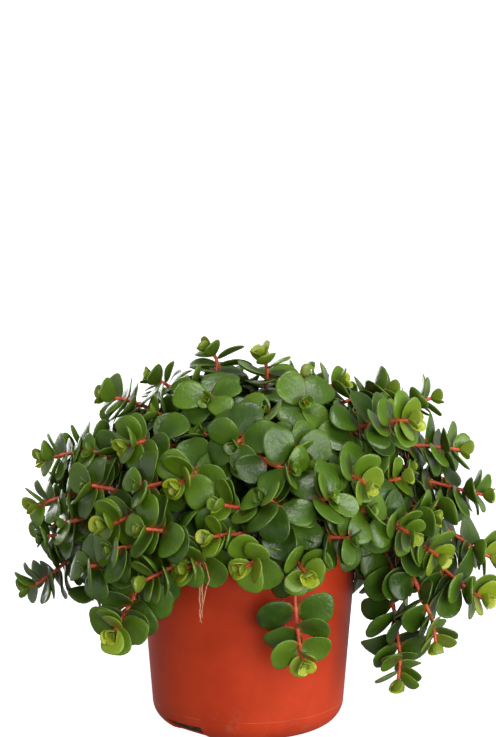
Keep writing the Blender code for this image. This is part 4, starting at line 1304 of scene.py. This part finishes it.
leaf_skin, start = new_material("sedum_leaf_skin", Specular_IOR_Level=LEAF_SHINE)
share, edge, upper = start.attribute("blade").parts()
age, hue, shade = start.attribute("growth").parts()
cloud = start.noise(*LEAF_CLOUDS)
speckle = start.noise(*LEAF_SPECKLES)
young = age.step(*FRESH_AGES).mixed(BUD_COLOUR, YOUNG_COLOUR)
tone = (age + HUE_AGE * hue).step(*GROWN_AGES).mixed(young, GROWN_COLOUR)
tone = (shade.step(*OLD_SHADES) * age.step(*OLD_AGES)).mixed(tone, OLD_COLOUR)
tone = (cloud.step(*PALE_CLOUDS) * PALE_SHARE).mixed(tone, YOUNG_COLOUR)
tone = ((1 - upper.step(*UNDER_EDGES)) * UNDER_SHARE).mixed(tone, UNDER_COLOUR)
# Painted shade: a grown blade's cupped middle and the part near its stalk are darkened towards the old green.
deep = (1 - edge.step(*PAINTED_SHADE_ACROSS)) * PAINTED_SHADE_SHARE + (1 - share.step(*PAINTED_SHADE_ALONG)) * PAINTED_SHADE_SHARE
tone = (deep * age.step(*PAINTED_SHADE_AGES)).mixed(tone, OLD_COLOUR)
# Pale rim: partly the leaf's own pale margin, partly a painted highlight where the edge catches the light.
pale_rim_and_highlight = edge.step(*PALE_RIM_AND_HIGHLIGHT_ACROSS)
tone = (pale_rim_and_highlight * PALE_RIM_AND_HIGHLIGHT_SHARE).mixed(tone, PALE_RIM_AND_HIGHLIGHT_COLOUR)
blush = (1 - share.step(*BLUSH_ALONG)) * BLUSH_SHARE
tone = blush.mixed(tone, BLUSH_COLOUR)
vein = 1 - edge.step(*VEIN_ACROSS)
wrinkle = start.noise(*LEAF_WRINKLES)
roughness = LEAF_ROUGHNESS + LEAF_CLOUD_ROUGHNESS * cloud + SHADE_ROUGHNESS * shade
height = speckle * SPECKLE_HEIGHT + wrinkle + LEAF_CLOUD_HEIGHT * cloud - VEIN_DEPTH * vein
finish_material(start, tone, roughness, height, LEAF_RELIEF)

stem_skin, start = new_material("sedum_stem_skin", Specular_IOR_Level=STEM_SHINE)
run, joint, _ = start.attribute("growth").parts()
cloud = start.noise(*STEM_CLOUDS)
tone = run.step(*RED_RUN).mixed(STEM_OLD, STEM_RED)
tone = (cloud.step(*STREAK_EDGES) * STEM_STREAKS + joint * JOINT_PALENESS).mixed(tone, STEM_PALE)
finish_material(start, tone, STEM_ROUGHNESS + STEM_CLOUD_ROUGHNESS * cloud, cloud, STEM_RELIEF)

root_skin, start = new_material("aerial_root_skin", Specular_IOR_Level=ROOT_SHINE)
run, _, hue = start.attribute("growth").parts()
cloud = start.noise(*ROOT_CLOUDS)
tone = (run + ROOT_HUE * hue).step(*PALE_RUN).mixed(ROOT_RED, ROOT_PALE)
tone = (cloud.step(*STREAK_EDGES) * ROOT_STREAKS).mixed(tone, STEM_OLD)
finish_material(start, tone, ROOT_ROUGHNESS + ROOT_CLOUD_ROUGHNESS * cloud, cloud, ROOT_RELIEF)


def add_shoot(skin, name, stem, thickness, fresh, draw):
    """One stem with its bud and leaves, all of them brighter where the shoot is fresh."""
    radii = STEM_RADIUS * thickness, STEM_RADIUS * STEM_TIP_SHARE
    add_stem(skin, stem.path, PAIR_OFFSETS + LOWER_OFFSETS, *radii, draw.random())
    add_bud(skin, stem, fresh - OLDER_FADE * OLDER_TIPS.get(name, 0), draw)
    for leaf in leaves[name]:
        grown = min(1, leaf.age / GROWN_PAIR)
        add_blade(skin, leaf, FIRST_AGE + (1 - FIRST_AGE) * grown - fresh * (1 - FRESH_FADE * grown), draw)


lines = {name: smooth_line(stem.path) for name, stem in stems.items()}
gaps = {name: np.linalg.norm(line - np.array(ROOT_BUNCH_PLACE), axis=1) for name, line in lines.items()}
bunch_owner = min(gaps, key=lambda name: gaps[name].min())
bunch_place = lines[bunch_owner][gaps[bunch_owner].argmin()]
for name, stem in stems.items():
    skin = Skin()
    draw = random.Random(f"{name} skin")
    fresh = FRESH_SHOOTS.get(name, draw.uniform(*FRESH_SPREAD))
    add_shoot(skin, name, stem, MAIN_THICKNESS, fresh, draw)
    for side_name, side_stem in branches[name]:
        add_shoot(skin, side_name, side_stem, SIDE_THICKNESS, draw.uniform(*FRESH_SPREAD), draw)
    total = runs_along(stem.path)[-1]
    joints = [total - offset for offset in ROOTED_OFFSETS if draw.random() < ROOTED_SHARE]
    for place in at_runs(stem.path, np.array([run for run in joints if run > BARE_STRETCH])):
        add_roots(skin, place, ROOTS_PER_JOINT, ROOT_LENGTHS, draw)
    if name == bunch_owner:
        add_roots(skin, bunch_place, ROOT_BUNCH_COUNT, ROOT_BUNCH_LENGTHS, draw, ROOT_BUNCH_SWELL)
    looks = [leaf_skin, stem_skin, root_skin]
    add_piece(f"leafy_shoot_{name}", skin.mesh(f"leafy_shoot_{name}"), looks, "leaf", f"shoot_{name}")


# The plant and its pot stand on a plain white floor with a white wall all round, in soft daylight that comes
# mostly from the front and the right, with a weaker light behind it, seen by a long lens from slightly above.

CAMERA_PLACE = (0, -1.150, 0.3516)
CAMERA_PITCH = 8.25
CAMERA_LENS = 110.6
FLOOR_SIZE = 12
FLOOR_GLOW = 0.90
PAPER_DULL = (0.46, 0.46, 0.46)
PAPER_BRIGHT = (0.52, 0.52, 0.52)
PAPER_SHINE = 0.1
PAPER_CLOUDS = (6, 2.0)
PAPER_STAINS = (20, 2.0)
PAPER_FIBRES = (900, 2.0)
PAPER_ROUGHNESS = 0.8
STAIN_ROUGHNESS = 0.1
PAPER_RELIEF = 0.00002
WHITE = (1, 1, 1, 1)
WALL_RADIUS = 5.9
WALL_HEIGHT = 7
WALL_SIDES = 64
WALL_GLOW = 1.0
ROOM_GLOW = 0.76  # of the daylight from all round
SKY_GLOW = 0.25  # overhead, and underfoot where the floor hides it
ROOM_EDGE = (0.18, 0.40)  # where that daylight fades out above and below, as the sine of the height
LIGHTS = {  # square and soft, each with its place, size and power
    "top_light": ((0.15, -0.25, 1.3), 0.5, 11),
    "front_light": ((0.50, -1.5, 0.50), 0.8, 21),
    "low_light": ((1.2, -0.7, 0.06), 0.8, 18),
    "back_light": ((-0.7, 1.5, 0.30), 0.9, 15),
}


def add_stage(name, corners, faces, glow):
    """A white sheet that glows enough to stay white, and leaves the light on the plant as it is."""
    mesh = bpy.data.meshes.new(name)
    mesh.from_pydata(corners, [], faces)
    sheet = add_object(name, mesh)
    glowing = {"Emission_Color": WHITE, "Emission_Strength": glow}
    paper, start = new_material(f"{name}_paper", Specular_IOR_Level=PAPER_SHINE, **glowing)
    tone = start.noise(*PAPER_CLOUDS).mixed(PAPER_DULL, PAPER_BRIGHT)
    roughness = start.noise(*PAPER_STAINS) * STAIN_ROUGHNESS + PAPER_ROUGHNESS
    finish_material(start, tone, roughness, start.noise(*PAPER_FIBRES), PAPER_RELIEF)
    mesh.materials.append(paper)
    sheet.visible_diffuse = False
    sheet.visible_glossy = False
    sheet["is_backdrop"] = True
    return sheet


half = FLOOR_SIZE / 2
corners = [(-half, -half, 0), (half, -half, 0), (half, half, 0), (-half, half, 0)]
add_stage("floor", corners, [(0, 1, 2, 3)], FLOOR_GLOW)
turns = [2 * math.pi * i / WALL_SIDES for i in range(WALL_SIDES)]
corners = [around(WALL_RADIUS, turn, height) for turn in turns for height in (0, WALL_HEIGHT)]
faces = [tuple((2 * i + k) % len(corners) for k in (0, 1, 3, 2)) for i in range(WALL_SIDES)]
wall = add_stage("wall", corners, faces, WALL_GLOW)
wall.visible_shadow = False

world = bpy.data.worlds.new("daylight")
world.use_nodes = True
start = Value(world.node_tree)
height = start.node("ShaderNodeTexCoord", output="Generated").parts()[2]
edge = height.math("ABSOLUTE", height).step(*ROOM_EDGE)
glow = edge.mixed([ROOM_GLOW] * 3, [SKY_GLOW] * 3)
background = world.node_tree.nodes["Background"]
background.inputs["Strength"].default_value = 1
world.node_tree.links.new(glow.socket, background.inputs["Color"])
bpy.context.scene.world = world

for name, (place, size, power) in LIGHTS.items():
    light = add_object(name, bpy.data.lights.new(name, "AREA"))
    light.data.size = size
    light.data.energy = power
    light.location = place
    light.rotation_euler = (CANOPY_MIDDLE - Vector(place)).to_track_quat("-Z", "Y").to_euler()

camera = add_object("camera", bpy.data.cameras.new("camera"))
camera.data.lens = CAMERA_LENS
camera.location = CAMERA_PLACE
camera.rotation_euler = (math.radians(90 - CAMERA_PITCH), 0, 0)
bpy.context.scene.camera = camera
bpy.context.scene.view_settings.view_transform = "Standard"

boxes = {"cad": cad_box, "visual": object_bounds()}
{key: [[float(c) for c in corner] for corner in box] for key, box in boxes.items()}
